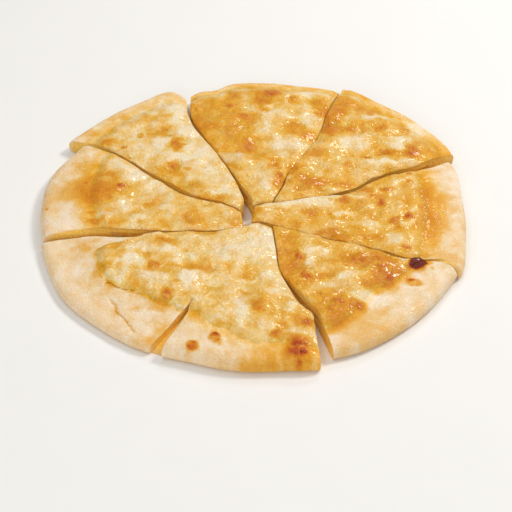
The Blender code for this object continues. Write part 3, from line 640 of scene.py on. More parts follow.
class Plan:
    """The wedge from above: u runs from its first cut to its second, v outward."""

    def __init__(self, wedge, piece_wedges, seed):
        self.wedge = wedge
        self.seed = seed
        self.bumps = [bump for one in piece_wedges for bump in one.bumps]
        self.marks = [mark for one in piece_wedges for mark in one.marks]
        self.spots = [spot for one in piece_wedges for spot in one.spots]
        self.sides = []
        for cut, start, side in (
            (wedge.first_cut, wedge.first_start, 1.0),
            (wedge.second_cut, wedge.second_start, -1.0),
        ):
            edge = CutSide(cut, side)
            self.sides.append((edge, start, rim_distance(wedge, edge, start)))
        first = angle_of(self.edge(0, 1.0))
        second = angle_of(self.edge(1, 1.0))
        self.angles = (first, first + (second - first) % 360.0)

    def edge(self, index, v):
        side, start, end = self.sides[index]
        return side.at(start + (end - start) * v)

    def rim(self, u):
        angle = self.angles[0] + (self.angles[1] - self.angles[0]) * u
        turn = np.radians(angle)
        return RIM_MIDDLE + np.exp(1j * turn) * rim_radius(self.wedge, angle)

    def place(self, u, v):
        """Patch between the two cuts, swollen outward to meet the rim."""
        first = self.edge(0, v)
        ruled = first + (self.edge(1, v) - first) * u
        straight_start = self.edge(0, 1.0)
        straight_rim = straight_start + (self.edge(1, 1.0) - straight_start) * u
        return ruled + (self.rim(u) - straight_rim) * v * v

    def length(self, u):
        return np.abs(self.rim(u) - self.place(u, 0.0 * u))

    def across(self, v):
        return np.abs(self.edge(0, v) - self.edge(1, v))

    def from_rim(self, u, distance):
        return 1.0 - distance / self.length(u)

    def bare_rim(self, u):
        width = np.full(np.shape(u), float(self.wedge.bare[0][1]))
        for (low, narrow), (high, wide) in zip(self.wedge.bare, self.wedge.bare[1:]):
            width += (wide - narrow) * smooth_step((u - low) / (high - low))
        return width

    def to_cuts(self, u, v):
        """Distances to the wedge's open cuts, far where the slit is still closed."""
        wide = self.across(v)
        closed = v * self.length(u) < SLIT_START
        distances = []
        for cut, to_cut in (
            (self.wedge.first_cut, u * wide), (self.wedge.second_cut, (1.0 - u) * wide)
        ):
            distances.append(np.where(closed, FAR, to_cut) if cut == "slit" else to_cut)
        return distances

    def dough_top(self, u, v):
        """Height of the dough's upper side, without fine relief."""
        wedge = self.wedge
        drawn = self.place(u, v) + PLAN_MIDDLE
        length = self.length(u)
        to_rim = (1.0 - v) * length
        height = wedge.top - wedge.border_drop * smooth_step(1.0 - to_rim / wedge.border_width)
        for x, y, wide, deep, lift in self.bumps:
            height += lift * spread(drawn.real - x, wide) * spread(drawn.imag - y, deep)
        for to_cut in self.to_cuts(u, v):
            height -= CUT_ROUNDING * spread(to_cut, CUT_ROUNDING_WIDTH)
        height -= TIP_ROUNDING * spread(v * length, CUT_ROUNDING_WIDTH)
        kept = np.maximum(height, POCKET_CEILING + THINNEST_SKIN)
        return np.where(to_rim > self.bare_rim(u), kept, height)


def crowd(share):
    """Columns stand closer together towards the cuts."""
    return share - CROWDING * np.sin(2.0 * math.pi * share)


def crack_depth(drawn):
    """How deep the crack is here, from 0 beside its uneven line to 1 on it."""
    drawn = drawn + summed(waves, CRACK_WAVES, drawn, 0)
    nearest = np.full(np.shape(drawn), FAR)
    line = [complex(x, y) for x, y in CRACK]
    for start, end in zip(line, line[1:]):
        run = end - start
        share = np.clip(((drawn - start) * run.conjugate()).real / abs(run) ** 2, 0.0, 1.0)
        nearest = np.minimum(nearest, np.abs(drawn - start - run * share))
    return spread(nearest, CRACK_WIDTH)


def dough_relief(plan, u, v):
    """Fine uneven rise of the bare dough, fading out under the cheese."""
    drawn = plan.place(u, v) + PLAN_MIDDLE
    to_rim = (1.0 - v) * plan.length(u)
    clear = smooth_step((plan.bare_rim(u) - to_rim) / DOUGH_FADE)
    rise = summed(waves, DOUGH_WAVES, drawn, plan.seed) - CRACK_DEPTH * crack_depth(drawn)
    rise *= clear
    for x, y, wide, deep, lift, _ in plan.spots:
        rise += DOUGH_BLISTER_LIFT * lift * dome(drawn, x, y, wide, deep)
    return rise


def dome(drawn, x, y, wide, deep):
    """Blister with a round top and a firm edge."""
    away = ((drawn.real - x) / wide) ** 2 + ((drawn.imag - y) / deep) ** 2
    return np.clip(1.0 - away / BLISTER_REACH, 0.0, 1.0) ** BLISTER_POWER


def dough_outside(plan, u, s, _):
    """Outside of the dough: top, rim and under side, for a stretch s from 0 to 5."""
    wedge = plan.wedge
    cheese_end = plan.from_rim(u, plan.bare_rim(u))
    shoulder = plan.from_rim(u, wedge.shoulder)
    stretch = [s <= BORDER, s <= SHOULDER, s <= FOOT, s <= UNDER_SIDE]
    v = np.select(
        stretch,
        [
            cheese_end * s,
            cheese_end + (shoulder - cheese_end) * (s - BORDER),
            plan.from_rim(u, wedge.shoulder * (1.0 - np.sin(turn_of(s, SHOULDER)))),
            plan.from_rim(u, FOOT_INSET * (1.0 - np.cos(turn_of(s, FOOT)))),
        ],
        cheese_end * POCKET_SHARE * (1.0 - (s - UNDER_SIDE)),
    )
    top = plan.dough_top(u, v) + dough_relief(plan, u, v)
    at_shoulder = plan.dough_top(u, shoulder) + dough_relief(plan, u, shoulder)
    height = np.select(
        stretch,
        [
            top,
            top,
            wedge.belly + (at_shoulder - wedge.belly) * np.cos(turn_of(s, SHOULDER)),
            wedge.belly * (1.0 - np.sin(turn_of(s, FOOT))),
        ],
        0.0,
    )
    return plan.place(u, v), height


def turn_of(s, start):
    """Quarter turn within one stretch of the dough's outside."""
    return 0.5 * math.pi * np.clip(s - start, 0.0, 1.0)


def dough_inside(plan, u, s, _):
    """Pocket in the dough: its ceiling, its end wall and its floor."""
    cheese_end = plan.from_rim(u, plan.bare_rim(u))
    end = cheese_end * POCKET_SHARE
    share = np.clip((s - POCKET_SHARE) / (UNDER_SIDE - POCKET_SHARE), 0.0, 1.0)
    v = np.where(s <= POCKET_SHARE, cheese_end * s, end)
    v = np.where(s > UNDER_SIDE, end * (1.0 - (s - UNDER_SIDE)), v)
    return plan.place(u, v), POCKET_CEILING + (POCKET_FLOOR - POCKET_CEILING) * share


def inset(plan, u, v, amount):
    """The same u, drawn in from both cuts by an amount."""
    inside = amount / plan.across(v)
    return inside + (1.0 - 2.0 * inside) * u


def cheese_edge(plan, u):
    """How far the melted cheese stays back from the rim, with its ragged outline."""
    return plan.bare_rim(u) + ragged(RAGGED_END, plan.rim(u), plan.seed)


def topping_place(plan, u, row):
    v = plan.from_rim(u, cheese_edge(plan, u)) * row
    drawn_back = DRAWN_BACK + ragged(DRAWN_BACK_WAVES, plan.place(u, v), plan.seed)
    return inset(plan, u, v, drawn_back), v


def topping_under(plan, u, row, sizes):
    u, v = topping_place(plan, u, row)
    return plan.place(u, v), plan.dough_top(u, v) + sizes.cheese_lift / MM


def topping_over(plan, u, row, sizes):
    """Melted cheese with curds, folds and blisters, thin where it ends."""
    u, v = topping_place(plan, u, row)
    drawn = plan.place(u, v) + PLAN_MIDDLE
    length = plan.length(u)
    to_end = (1.0 - row) * v * length / np.maximum(row, 0.01)
    ends = smooth_step(to_end / CHEESE_THINNING)
    settle = smooth_step(to_end / (CHEESE_SETTLING + plan.wedge.fade))
    near_cut = np.minimum(*plan.to_cuts(u, v))
    from_edge = np.minimum(near_cut, np.minimum(v * length, to_end) + TIP_LEAD)
    rounding = np.clip(from_edge / CHEESE_ROUNDING, 0.0, 1.0)
    skirt = np.sqrt(rounding * (2.0 - rounding))
    thin = sizes.cheese_edge / MM
    thick = thin + (plan.wedge.cheese + CHEESE_RISE - thin) * ends
    curds = summed(waves, CURD_WAVES, drawn, plan.seed)
    curds += summed(ridged, [CURD_RIDGES], drawn, plan.seed)
    sunk = np.clip(bake_and_painted_light_at(plan, drawn) - plan.wedge.bake, -MOST_SUNK, MOST_SUNK)
    thick += (sizes.curd_height / MM) * (curds - SUNK_CURDS * sunk) * settle
    for x, y, wide, deep, lift, _ in plan.spots:
        thick += BLISTER_LIFT * lift * dome(drawn, x, y, wide, deep)
    thick = np.maximum(thick * (CUT_SHARE + (1.0 - CUT_SHARE) * skirt), 0.5 * thin)
    height = plan.dough_top(u, v) + sizes.cheese_lift / MM + thick
    over = height - (sizes.highest / MM - SOFT_LIMIT)
    pressed = height - over * over / (over + SOFT_LIMIT)
    return plan.place(u, v), np.where(over > 0.0, pressed, height)


def filling_point(plan, u, row, height, seed):
    end = plan.from_rim(u, plan.bare_rim(u)) * POCKET_SHARE
    v = (end - FILLING_END_GAP / plan.length(u)) * row
    amount = FILLING_EDGE + ragged((*FILLING_WAVES, 0), plan.place(u, v), seed)
    return plan.place(inset(plan, u, v, amount), v), np.full(np.shape(v), height)


def filling_over(plan, u, row, sizes):
    height = POCKET_CEILING - sizes.clearance / MM
    return filling_point(plan, u, row, height, plan.seed + 41)


def filling_under(plan, u, row, sizes):
    height = POCKET_FLOOR + sizes.clearance / MM
    return filling_point(plan, u, row, height, plan.seed + 42)


def bake_and_painted_light_at(plan, drawn):
    """How darkly the surface is baked, with painted shade and painted highlights among its marks
    and blister rings: 0 is pale, 0.5 amber, 1 burnt.
    """
    moved = drawn
    for size, reach, along, across in EDGE_WANDER:
        moved = moved + reach * (
            waves(drawn, size, plan.seed + along) + 1j * waves(drawn, size, plan.seed + across)
        )
    bake = plan.wedge.bake + summed(waves, BAKE_WAVES, drawn, plan.seed)
    bake += summed(ridged, [BAKE_RIDGES], moved, plan.seed)
    for x, y, wide, deep, darker in plan.marks:
        away = ((moved.real - x) / wide) ** 2 + ((moved.imag - y) / deep) ** 2
        bake += BAKE_CONTRAST * darker * np.exp(-MARK_FALL * away**MARK_POWER)
    over = np.maximum(bake - WELL_BAKED, 0.0)
    bake = np.minimum(bake, WELL_BAKED) + BAKE_LIMIT * (1.0 - np.exp(-over / BAKE_LIMIT))
    still = drawn + SPOT_WANDER * (moved - drawn)
    for x, y, wide, deep, _, darker in plan.spots:
        bake += darker * smooth_step(BLISTER_DARKENING * dome(still, x, y, wide, deep))
        # Lighter ring round each blister: a painted highlight on its edge.
        away = np.hypot((moved.real - x) / wide, (moved.imag - y) / deep)
        bake -= HIGHLIGHT_RING_PALENESS * spread(away - HIGHLIGHT_RING_PLACE, HIGHLIGHT_RING_WIDTH)
    return bake


class Piece:
    """Turns one or two wedges into closed pieces, all from sheets of one grid."""

    def __init__(self, name, wedges):
        self.name = name
        self.plans = [
            Plan(wedge, wedges, 100 * (list(PIECES).index(name) + 1)) for wedge in wedges
        ]

    def sheet(self, columns, steps):
        """Flat grid that remembers the wedge, u, stretch and side of each corner."""
        sheet = bmesh.new()
        for layer in ("wedge", "u", "along", "side"):
            sheet.verts.layers.float.new(layer)
        layers = sheet.verts.layers.float
        wide = columns * len(self.plans)
        bmesh.ops.create_grid(
            sheet, x_segments=wide, y_segments=len(steps) - 1, size=1.0
        )
        for corner in sheet.verts:
            column = round((corner.co.x + 1.0) * 0.5 * wide)
            row = round((corner.co.y + 1.0) * 0.5 * (len(steps) - 1))
            wedge = min(column // columns, len(self.plans) - 1)
            corner[layers["wedge"]] = wedge
            corner[layers["u"]] = (column - columns * wedge) / columns
            corner[layers["along"]] = steps[row]
        return sheet

    def open_slit(self, sheet, first, last):
        """Parts the sheet along the line between two wedges, from first to last."""
        layers = sheet.verts.layers.float
        line = {
            v for v in sheet.verts
            if v[layers["wedge"]] == 1.0 and v[layers["u"]] == 0.0
            and first <= v[layers["along"]] <= last
        }
        seam = [e for e in sheet.edges if all(v in line for v in e.verts)]
        bmesh.ops.split_edges(sheet, edges=seam)
        for corner in sheet.verts:
            if corner[layers["wedge"]] == 1.0 and corner[layers["u"]] == 0.0:
                if all(f.calc_center_median().x < 0.0 for f in corner.link_faces):
                    corner[layers["wedge"]] = 0.0
                    corner[layers["u"]] = 1.0

    def solid(self, columns, steps, slit, outside, inside, sizes, paint):
        """Sheet placed by one rule and thickened to a second sheet by another."""
        mesh = self.sheet(columns, steps)
        if len(self.plans) > 1:
            self.open_slit(mesh, *slit)
        grown = bmesh.ops.extrude_face_region(mesh, geom=mesh.faces, use_keep_orig=True)
        side = mesh.verts.layers.float["side"]
        second = [part for part in grown["geom"] if isinstance(part, bmesh.types.BMVert)]
        for corner in second:
            corner[side] = 1.0
        walls = [e for e in mesh.edges if abs(e.verts[0][side] - e.verts[1][side]) == 1.0]
        bmesh.ops.subdivide_edges(mesh, edges=walls, cuts=WALL_CUTS, use_grid_fill=True)
        self.place_corners(mesh, outside, inside, sizes, paint)
        bmesh.ops.recalc_face_normals(mesh, faces=mesh.faces)
        if mesh.calc_volume(signed=True) < 0.0:
            bmesh.ops.reverse_faces(mesh, faces=mesh.faces)
        return mesh

    def place_corners(self, mesh, outside, inside, sizes, paint):
        layers = mesh.verts.layers.float
        keys = [layers[name] for name in ("wedge", "u", "along", "side")]
        rows = np.array([[corner[key] for key in keys] for corner in mesh.verts])
        wedge, u, along, side = rows.T
        u = crowd(u)
        points = np.zeros((len(rows), 3))
        values = {}
        for index, plan in enumerate(self.plans):
            mine = np.round(wedge) == index
            wall = (side[mine] > 0.001) & (side[mine] < 0.999)
            out_place, out_height = outside(plan, u[mine], along[mine], sizes)
            in_place, in_height = inside(plan, u[mine], along[mine], sizes)
            share = side[mine]
            place = out_place + (in_place - out_place) * share
            height = out_height + (in_height - out_height) * share
            inward = plan.place(np.full(np.shape(u[mine]), 0.5), np.full(np.shape(u[mine]), 0.5))
            inward = inward - place
            inward /= np.maximum(np.abs(inward), 0.001)
            pits = ragged(WALL_PITS, place + (0.9 + 1.7j) * height, plan.seed)
            place = place + np.where(wall, pits, 0.0) * inward
            points[mine] = np.column_stack([place.real, place.imag, height])
            for name, value in paint(plan, u[mine], along[mine], share, wall, place).items():
                values.setdefault(name, np.zeros(len(rows)))[mine] = value
        for corner, point in zip(mesh.verts, (points * MM).tolist()):
            corner.co = point
        for name, value in values.items():
            key = mesh.verts.layers.float.new(name)
            for corner, amount in zip(mesh.verts, value.tolist()):
                corner[key] = amount


def paint_dough(plan, u, along, side, wall, place):
    """Bake, with its painted shade and highlights, cheese colour, oil and open crumb over the
    dough.
    """
    drawn = place + PLAN_MIDDLE
    bake = bake_and_painted_light_at(plan, drawn)
    beyond = np.clip(along - BORDER, 0.0, 1.0) * (plan.bare_rim(u) - plan.wedge.shoulder)
    cheesy = 1.0 - smooth_step(beyond / plan.wedge.fade)
    own_bake = DOUGH_BAKE + DOUGH_CONTRAST * (bake - plan.wedge.bake)
    bake = own_bake + (bake - own_bake) * cheesy
    under = smooth_step(along - FOOT)
    bake = bake + (UNDER_BAKE - bake) * under
    inner = wall | (side > 0.5)
    # Darker along the crack: baked colour with painted shade in the crease.
    bake = bake + CRACK_BAKE_AND_SHADE * crack_depth(drawn) * (along < SHOULDER)
    return {
        "bake": np.where(inner, WALL_BAKE, bake),
        "cheesy": np.where(inner, 0.0, cheesy * (1.0 - under)),
        "oil": np.where(inner, WALL_OIL, DOUGH_OIL + OILY_DOUGH * cheesy * (1.0 - under)),
        "crumb": np.where(inner, 1.0, 0.0),
    }


def paint_topping(plan, u, along, side, wall, place):
    """Bake, with its painted shade and highlights, cheese colour and oil over the melted cheese.
    """
    drawn = place + PLAN_MIDDLE
    bake = bake_and_painted_light_at(plan, drawn)
    to_end = (1.0 - along) * plan.length(u)
    inside = smooth_step(to_end / (OIL_MARGIN + plan.wedge.fade))
    cut = wall & (to_end > 1.0)
    bake = np.where(cut, np.maximum(bake, WALL_BAKE), bake)
    cheesy = CHEESY_END + (1.0 - CHEESY_END) * inside
    cheesy += summed(waves, [CHEESY_WAVES], drawn, plan.seed)
    cheesy = np.clip(cheesy, LEAST_CHEESY, 1.0)
    return {
        "bake": bake,
        "cheesy": 1.0 + (cheesy - 1.0) * smooth_step(to_end / LAST_CHEESE),
        "oil": CHEESE_END_OIL + (1.0 - CHEESE_END_OIL) * inside,
        "crumb": 0.0 * bake,
    }


def paint_filling(plan, u, along, side, wall, place):
    """Bake and oil over the cheese inside."""
    flat = np.ones(np.shape(place))
    bake = FILLING_BAKE + summed(waves, [FILLING_BAKE_WAVES], place, plan.seed)
    return {"bake": bake, "cheesy": flat, "oil": FILLING_OIL * flat, "crumb": 0.0 * flat}


class Socket:
    """A shader value that takes + - * / with numbers and other values."""

    def __init__(self, nodes, output):
        self.nodes = nodes
        self.output = output

    def math(self, operation, first, second):
        node = self.nodes.add(
            "ShaderNodeMath", {"operation": operation}, {0: first, 1: second}
        )
        return node.value()

    def __add__(self, other):
        return self.math("ADD", self, other)

    def __radd__(self, other):
        return self.math("ADD", other, self)

    def __sub__(self, other):
        return self.math("SUBTRACT", self, other)

    def __rsub__(self, other):
        return self.math("SUBTRACT", other, self)

    def __mul__(self, other):
        return self.math("MULTIPLY", self, other)

    def __rmul__(self, other):
        return self.math("MULTIPLY", other, self)

    def clamp(self, low=0.0, high=1.0):
        node = self.nodes.add(
            "ShaderNodeClamp", {}, {"Value": self, "Min": low, "Max": high}
        )
        return node.value()


class Made:
    """A node that was added, and its outputs as values."""

    def __init__(self, nodes, node):
        self.nodes = nodes
        self.node = node

    def value(self, name=0):
        return Socket(self.nodes, self.node.outputs[name])


class Nodes:
    """Node tree of one material, starting from its Principled surface."""

    def __init__(self, name):
        self.material = bpy.data.materials.new(name)
        self.material.use_nodes = True
        self.tree = self.material.node_tree
        self.surface = self.tree.nodes["Principled BSDF"]

    def add(self, kind, settings, sockets):
        node = self.tree.nodes.new(kind)
        for name, value in settings.items():
            if name == "stops":
                self.set_stops(node.color_ramp, value)
            else:
                setattr(node, name, value)
        for name, value in sockets.items():
            self.plug(value, node.inputs[name])
        return Made(self, node)

    def set_stops(self, ramp, stops):
        while len(ramp.elements) < len(stops):
            ramp.elements.new(1.0)
        for element, (position, colour) in zip(ramp.elements, stops):
            element.position = position
            element.color = (*colour, 1.0)

    def plug(self, value, socket):
        if isinstance(value, Socket):
            self.tree.links.new(value.output, socket)
        else:
            socket.default_value = value

    def attribute(self, name):
        settings = {"attribute_type": "GEOMETRY", "attribute_name": name}
        return self.add("ShaderNodeAttribute", settings, {}).value("Fac")

    def place(self):
        return self.add("ShaderNodeTexCoord", {}, {}).value("Object")

    def noise(self, size, detail, rough=0.55):
        """Noise near 0 to 1 whose grains are about size metres across."""
        sockets = {
            "Vector": self.place(), "Scale": 1.0 / size, "Detail": detail, "Roughness": rough,
        }
        return self.add("ShaderNodeTexNoise", {}, sockets).value("Fac")

    def cells(self, size, feature="F1"):
        sockets = {"Vector": self.place(), "Scale": 1.0 / size}
        return self.add("ShaderNodeTexVoronoi", {"feature": feature}, sockets).value("Distance")

    def ramp(self, factor, stops):
        return self.add("ShaderNodeValToRGB", {"stops": stops}, {0: factor}).value("Color")

    def mix(self, factor, first, second):
        sockets = {0: factor, 6: first, 7: second}
        return self.add("ShaderNodeMix", {"data_type": "RGBA"}, sockets).value(2)

    def bump(self, height, distance, strength):
        sockets = {"Height": height, "Distance": distance, "Strength": strength}
        return self.add("ShaderNodeBump", {}, sockets).value("Normal")

    def finish(self, sockets):
        for name, value in sockets.items():
            self.plug(value, self.surface.inputs[name])
        return self.material


def linear(colour):
    """Colour as seen on screen, 0 to 255, as light for a shader."""
    parts = []
    for part in colour:
        part /= 255.0
        if part <= 0.04045:
            parts.append(part / 12.92)
        else:
            parts.append(((part + 0.055) / 1.055) ** 2.4)
    return tuple(parts)


def bake_stops(colours, *palest):
    """Stops of a colour ramp from the three palest colours, named, to burnt."""
    names = (*palest, "cheese_brown", "cheese_dark", "burnt")
    return [(at, getattr(colours, name)) for at, name in zip(BAKE_STOPS, names)]


def baked_material(name, shine, colours):
    """Surface that follows the bake, cheesy, oil and crumb amounts on the mesh."""
    nodes = Nodes(name)
    bake = nodes.attribute("bake")
    cheesy = nodes.attribute("cheesy")
    oil = nodes.attribute("oil")
    crumb = nodes.attribute("crumb")
    coarse = nodes.noise(*COARSE_GRAIN)
    fine = nodes.noise(*FINE_GRAIN)
    lace = nodes.noise(*LACE_GRAIN)
    patch = nodes.noise(*PATCH_GRAIN)
    # Pale lace on oily cheese: foam colour, partly a painted highlight on the crests where the
    # coat glints.
    foam_and_glint = ((lace - 0.50) * 5.0).clamp() * ((patch - 0.42) * 5.0).clamp() * oil
    uneven = ((coarse - 0.5) * 0.34 - foam_and_glint * 0.30) * (0.40 + cheesy * 0.60)
    tint = (bake + (uneven + (fine - 0.5) * 0.42) * (1.15 - bake * 0.8)).clamp()
    cheese = nodes.ramp(tint, bake_stops(colours, "cheese_pale", "cheese_gold", "cheese_amber"))
    dough = nodes.ramp(tint, bake_stops(colours, "dough_pale", "dough_cream", "dough_tan"))
    skin = nodes.mix(cheesy, dough, cheese)
    pores = nodes.cells(PORE_SIZE)
    # Cut face with darker pores: their own colour and painted shade in the hollows.
    inner = nodes.ramp(
        (pores * 0.9 + coarse * 0.5).clamp(),
        [(0.20, colours.crumb_pores_shaded), (0.85, colours.crumb_pale)],
    )
    colour = nodes.mix(crumb, skin, inner)
    dots = nodes.cells(PORE_SIZE, "SMOOTH_F1")
    rough = (0.62 - oil * 0.26 + (coarse - 0.5) * 0.3 + crumb * 0.1).clamp(0.2, 0.9)
    coat = (oil * shine * (lace * 5.0 - 2.15)).clamp(0.0, 0.8)
    relief = (lace + dots * 0.4 + coarse) * oil + fine * 1.1 + crumb * pores * 0.2
    return nodes.finish({
        "Base Color": colour,
        "Roughness": rough,
        "Coat Weight": coat,
        "Coat Roughness": 0.13,
        "Specular IOR Level": 0.25,
        "Subsurface Weight": 0.2,
        "Subsurface Radius": (1.0, 0.45, 0.15),
        "Subsurface Scale": 0.004,
        "Normal": nodes.bump(relief, 0.0009, 0.8),
    })


def distance_property(name, description, default, low, high):
    """Distance given in millimetres."""
    return FloatProperty(
        name=name, description=description, default=default * MM, min=low * MM,
        max=high * MM, subtype="DISTANCE", unit="LENGTH", precision=5,
    )


class BreadSizes(bpy.types.PropertyGroup):
    """Sizes of the layers that a user may want to change"""

    clearance: distance_property(
        "Clearance", "Gap between the cheese inside and the dough", 0.3, 0.0, 1.0
    )
    cheese_lift: distance_property(
        "Cheese Lift", "Gap under the melted cheese on top", 0.03, 0.0, 0.5
    )
    cheese_edge: distance_property(
        "Cheese Edge", "Thickness of the melted cheese where it ends", 0.08, 0.05, 1.5
    )
    highest: distance_property(
        "Highest Point", "Height that no curd or blister stands above", 16.2, 10.0, 25.0
    )
    curd_height: distance_property(
        "Curd Height", "How high the curds and wrinkles of the cheese stand", 1.3, 0.0, 2.0
    )


def colour_property(name, description, screen):
    return FloatVectorProperty(
        name=name, description=description, default=linear(screen), size=3,
        min=0.0, max=1.0, subtype="COLOR",
    )


class BreadColours(bpy.types.PropertyGroup):
    """Colours of the bake, from pale to burnt"""

    cheese_pale: colour_property("Pale Cheese", "Melted cheese with no browning", (252, 228, 189))
    cheese_gold: colour_property("Gold Cheese", "Lightly baked cheese", (246, 202, 121))
    cheese_amber: colour_property("Amber Cheese", "Baked cheese", (235, 170, 36))
    cheese_brown: colour_property("Brown Cheese", "Well baked cheese", (218, 134, 8))
    cheese_dark: colour_property("Dark Blisters", "Darkest blisters", (188, 78, 20))
    burnt: colour_property("Burnt", "The burnt bubble", (112, 36, 14))
    dough_pale: colour_property("Pale Dough", "Bare dough", (247, 227, 200))
    dough_cream: colour_property("Cream Dough", "Bare dough, lightly baked", (240, 208, 160))
    dough_tan: colour_property("Tan Dough", "Bare dough, baked", (233, 178, 84))
    crumb_pale: colour_property("Crumb", "Cut face of the dough", (250, 204, 98))
    # Pore colour, darker than the crumb, partly painted shade inside the pores.
    crumb_pores_shaded: colour_property("Crumb Pores", "Pores in the cut face", (240, 178, 60))


class StageSettings(bpy.types.PropertyGroup):
    """Camera, lights and floor"""

    floor_size: FloatProperty(
        name="Floor Size", description="Side of the floor",
        default=6.0, min=1.0, max=20.0, subtype="DISTANCE", unit="LENGTH",
    )
    floor_colour: colour_property("Floor", "Pale floor", (243, 242, 240))
    camera_distance: FloatProperty(
        name="Camera Distance", description="From the camera to the point it looks at",
        default=0.9607, min=0.3, max=5.0, subtype="DISTANCE", unit="LENGTH",
    )
    camera_height: FloatProperty(
        name="Camera Height Angle", description="Angle of the view above the floor",
        default=math.radians(41.65), min=0.0, max=math.radians(90.0), subtype="ANGLE",
        unit="ROTATION",
    )
    camera_roll: FloatProperty(
        name="Camera Roll", description="Turn of the camera about its own view",
        default=math.radians(0.39), min=-1.0, max=1.0, subtype="ANGLE", unit="ROTATION",
    )
    lens: FloatProperty(
        name="Lens", description="Focal length on a 36 mm sensor",
        default=105.47, min=20.0, max=300.0,
    )
    floor_divisions: IntProperty(
        name="Floor Divisions", description="Faces along one side of the floor",
        default=4, min=1, max=64,
    )


def make_object(name, mesh, material, node):
    data = bpy.data.meshes.new(name)
    mesh.to_mesh(data)
    mesh.free()
    data.materials.append(material)
    data.shade_smooth()
    data.set_sharp_from_angle(angle=math.radians(SHARP_ANGLE))
    piece = bpy.data.objects.new(name, data)
    bpy.context.scene.collection.objects.link(piece)
    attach(piece, "root")
    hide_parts(node)
    return piece


def even_steps(count):
    return [index / count for index in range(count + 1)]


def dough_steps():
    steps = []
    for stretch, count in DOUGH_ROWS.items():
        steps += [stretch + index / count for index in range(count)]
    return steps + [float(UNDER_SIDE + 1)]


def slit_share(plan):
    """Where the slit starts, as a share of the way to the cheese's end."""
    at_line = np.array([1.0])
    length = plan.length(at_line)
    return float((SLIT_START / length / plan.from_rim(at_line, plan.bare_rim(at_line)))[0])


def add_layer(context, layer, look, columns, steps, slit, outside, inside, paint):
    """Adds one layer of every wedge. Slit gives the stretch that is parted, by its start."""
    material = baked_material(*look, context.scene.bread_colours)
    for name, wedges in PIECES.items():
        piece = Piece(name, wedges)
        parted = slit(slit_share(piece.plans[0]))
        mesh = piece.solid(
            columns, steps, parted, outside, inside, context.scene.bread_sizes, paint
        )
        make_object(f"baked_{name}_{layer}", mesh, material, f"{name}_{layer}")


class BREAD_OT_add_dough(bpy.types.Operator):
    """Add the dough envelope of every wedge"""

    bl_idname = "bread.add_dough"
    bl_label = "Add Dough"

    def execute(self, context):
        add_layer(
            context, "dough", ("baked dough", 1.0), COLUMNS, dough_steps(),
            lambda start: (start, UNDER_SIDE + 1.0 - start / POCKET_SHARE),
            dough_outside, dough_inside, paint_dough,
        )
        return {"FINISHED"}


class BREAD_OT_add_filling(bpy.types.Operator):
    """Add the cheese inside every wedge"""

    bl_idname = "bread.add_filling"
    bl_label = "Add Filling"

    def execute(self, context):
        add_layer(
            context, "filling", ("cheese inside", 0.8), FILLING_COLUMNS,
            even_steps(FILLING_ROWS), lambda start: (start / POCKET_SHARE, 1.0),
            filling_over, filling_under, paint_filling,
        )
        return {"FINISHED"}


class BREAD_OT_add_topping(bpy.types.Operator):
    """Add the melted cheese on every wedge"""

    bl_idname = "bread.add_topping"
    bl_label = "Add Melted Cheese"

    def execute(self, context):
        add_layer(
            context, "topping", ("melted cheese", 1.0), COLUMNS,
            even_steps(CHEESE_ROWS), lambda start: (start, 1.0),
            topping_over, topping_under, paint_topping,
        )
        return {"FINISHED"}


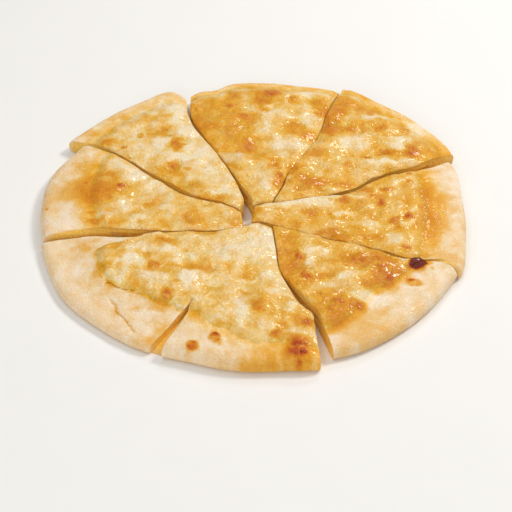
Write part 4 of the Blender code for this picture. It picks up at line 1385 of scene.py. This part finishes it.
class BREAD_OT_add_stage(bpy.types.Operator):
    """Add the floor, the lights and the camera"""

    bl_idname = "bread.add_stage"
    bl_label = "Add Stage"

    def execute(self, context):
        settings = context.scene.bread_stage
        self.add_floor(settings)
        self.add_lights()
        self.add_camera(settings)
        self.set_world(context.scene)
        context.scene.view_settings.view_transform = "Standard"
        return {"FINISHED"}

    def add_floor(self, settings):
        mesh = bmesh.new()
        divisions = settings.floor_divisions
        bmesh.ops.create_grid(
            mesh, x_segments=divisions, y_segments=divisions, size=settings.floor_size / 2.0
        )
        data = bpy.data.meshes.new("floor")
        mesh.to_mesh(data)
        mesh.free()
        nodes = Nodes("pale floor")
        speckle = nodes.noise(0.05, 2.0)
        colour = (*settings.floor_colour, 1.0)
        warm = tuple(part * 0.97 for part in settings.floor_colour) + (1.0,)
        data.materials.append(nodes.finish({
            "Base Color": nodes.mix(speckle, colour, warm), "Roughness": 0.7,
        }))
        floor = bpy.data.objects.new("floor", data)
        bpy.context.scene.collection.objects.link(floor)

    def add_lights(self):
        for name, stand, width, power, colour in LIGHTS:
            data = bpy.data.lights.new(name, "AREA")
            data.shape = "DISK"
            data.size = width
            data.energy = power
            data.color = colour
            light = bpy.data.objects.new(name, data)
            light.location = stand
            light.rotation_euler = Vector(stand).to_track_quat("Z", "Y").to_euler()
            bpy.context.scene.collection.objects.link(light)

    def add_camera(self, settings):
        data = bpy.data.cameras.new("camera")
        data.lens = settings.lens
        data.sensor_width = SENSOR_WIDTH
        camera = bpy.data.objects.new("camera", data)
        height = settings.camera_height
        back = Vector((0.0, -math.cos(height), math.sin(height)))
        look_at = Vector(LOOK_AT) * MM
        tilt = Matrix.Rotation(math.pi / 2.0 - height, 4, "X")
        roll = Matrix.Rotation(settings.camera_roll, 4, "Z")
        camera.matrix_world = (
            Matrix.Translation(look_at + back * settings.camera_distance) @ tilt @ roll
        )
        bpy.context.scene.collection.objects.link(camera)
        bpy.context.scene.camera = camera

    def set_world(self, scene):
        world = bpy.data.worlds.new("studio")
        world.use_nodes = True
        background = world.node_tree.nodes["Background"]
        background.inputs["Color"].default_value = WORLD_COLOUR
        background.inputs["Strength"].default_value = WORLD_STRENGTH
        scene.world = world


class BREAD_PT_panel(bpy.types.Panel):
    """Sizes, colours and steps of the cheese bread"""

    bl_idname = "BREAD_PT_panel"
    bl_label = "Cheese Bread"
    bl_space_type = "VIEW_3D"
    bl_region_type = "UI"
    bl_category = "Cheese Bread"

    def draw(self, context):
        layout = self.layout
        for group in (
            context.scene.bread_sizes, context.scene.bread_colours, context.scene.bread_stage
        ):
            box = layout.box()
            for name in group.__annotations__:
                box.prop(group, name)
        for operator in STEPS:
            layout.operator(operator.bl_idname)


STEPS = (
    BREAD_OT_add_stage, BREAD_OT_add_dough, BREAD_OT_add_filling, BREAD_OT_add_topping,
)
CLASSES = (BreadSizes, BreadColours, StageSettings, *STEPS, BREAD_PT_panel)


def register():
    for one in CLASSES:
        bpy.utils.register_class(one)
    bpy.types.Scene.bread_sizes = PointerProperty(type=BreadSizes)
    bpy.types.Scene.bread_colours = PointerProperty(type=BreadColours)
    bpy.types.Scene.bread_stage = PointerProperty(type=StageSettings)


def unregister():
    del bpy.types.Scene.bread_stage
    del bpy.types.Scene.bread_colours
    del bpy.types.Scene.bread_sizes
    for one in reversed(CLASSES):
        bpy.utils.unregister_class(one)


def main():
    register()
    bpy.ops.bread.add_stage()
    bpy.ops.bread.add_dough()
    bpy.ops.bread.add_filling()
    bpy.ops.bread.add_topping()


if __name__ == "__main__":
    main()
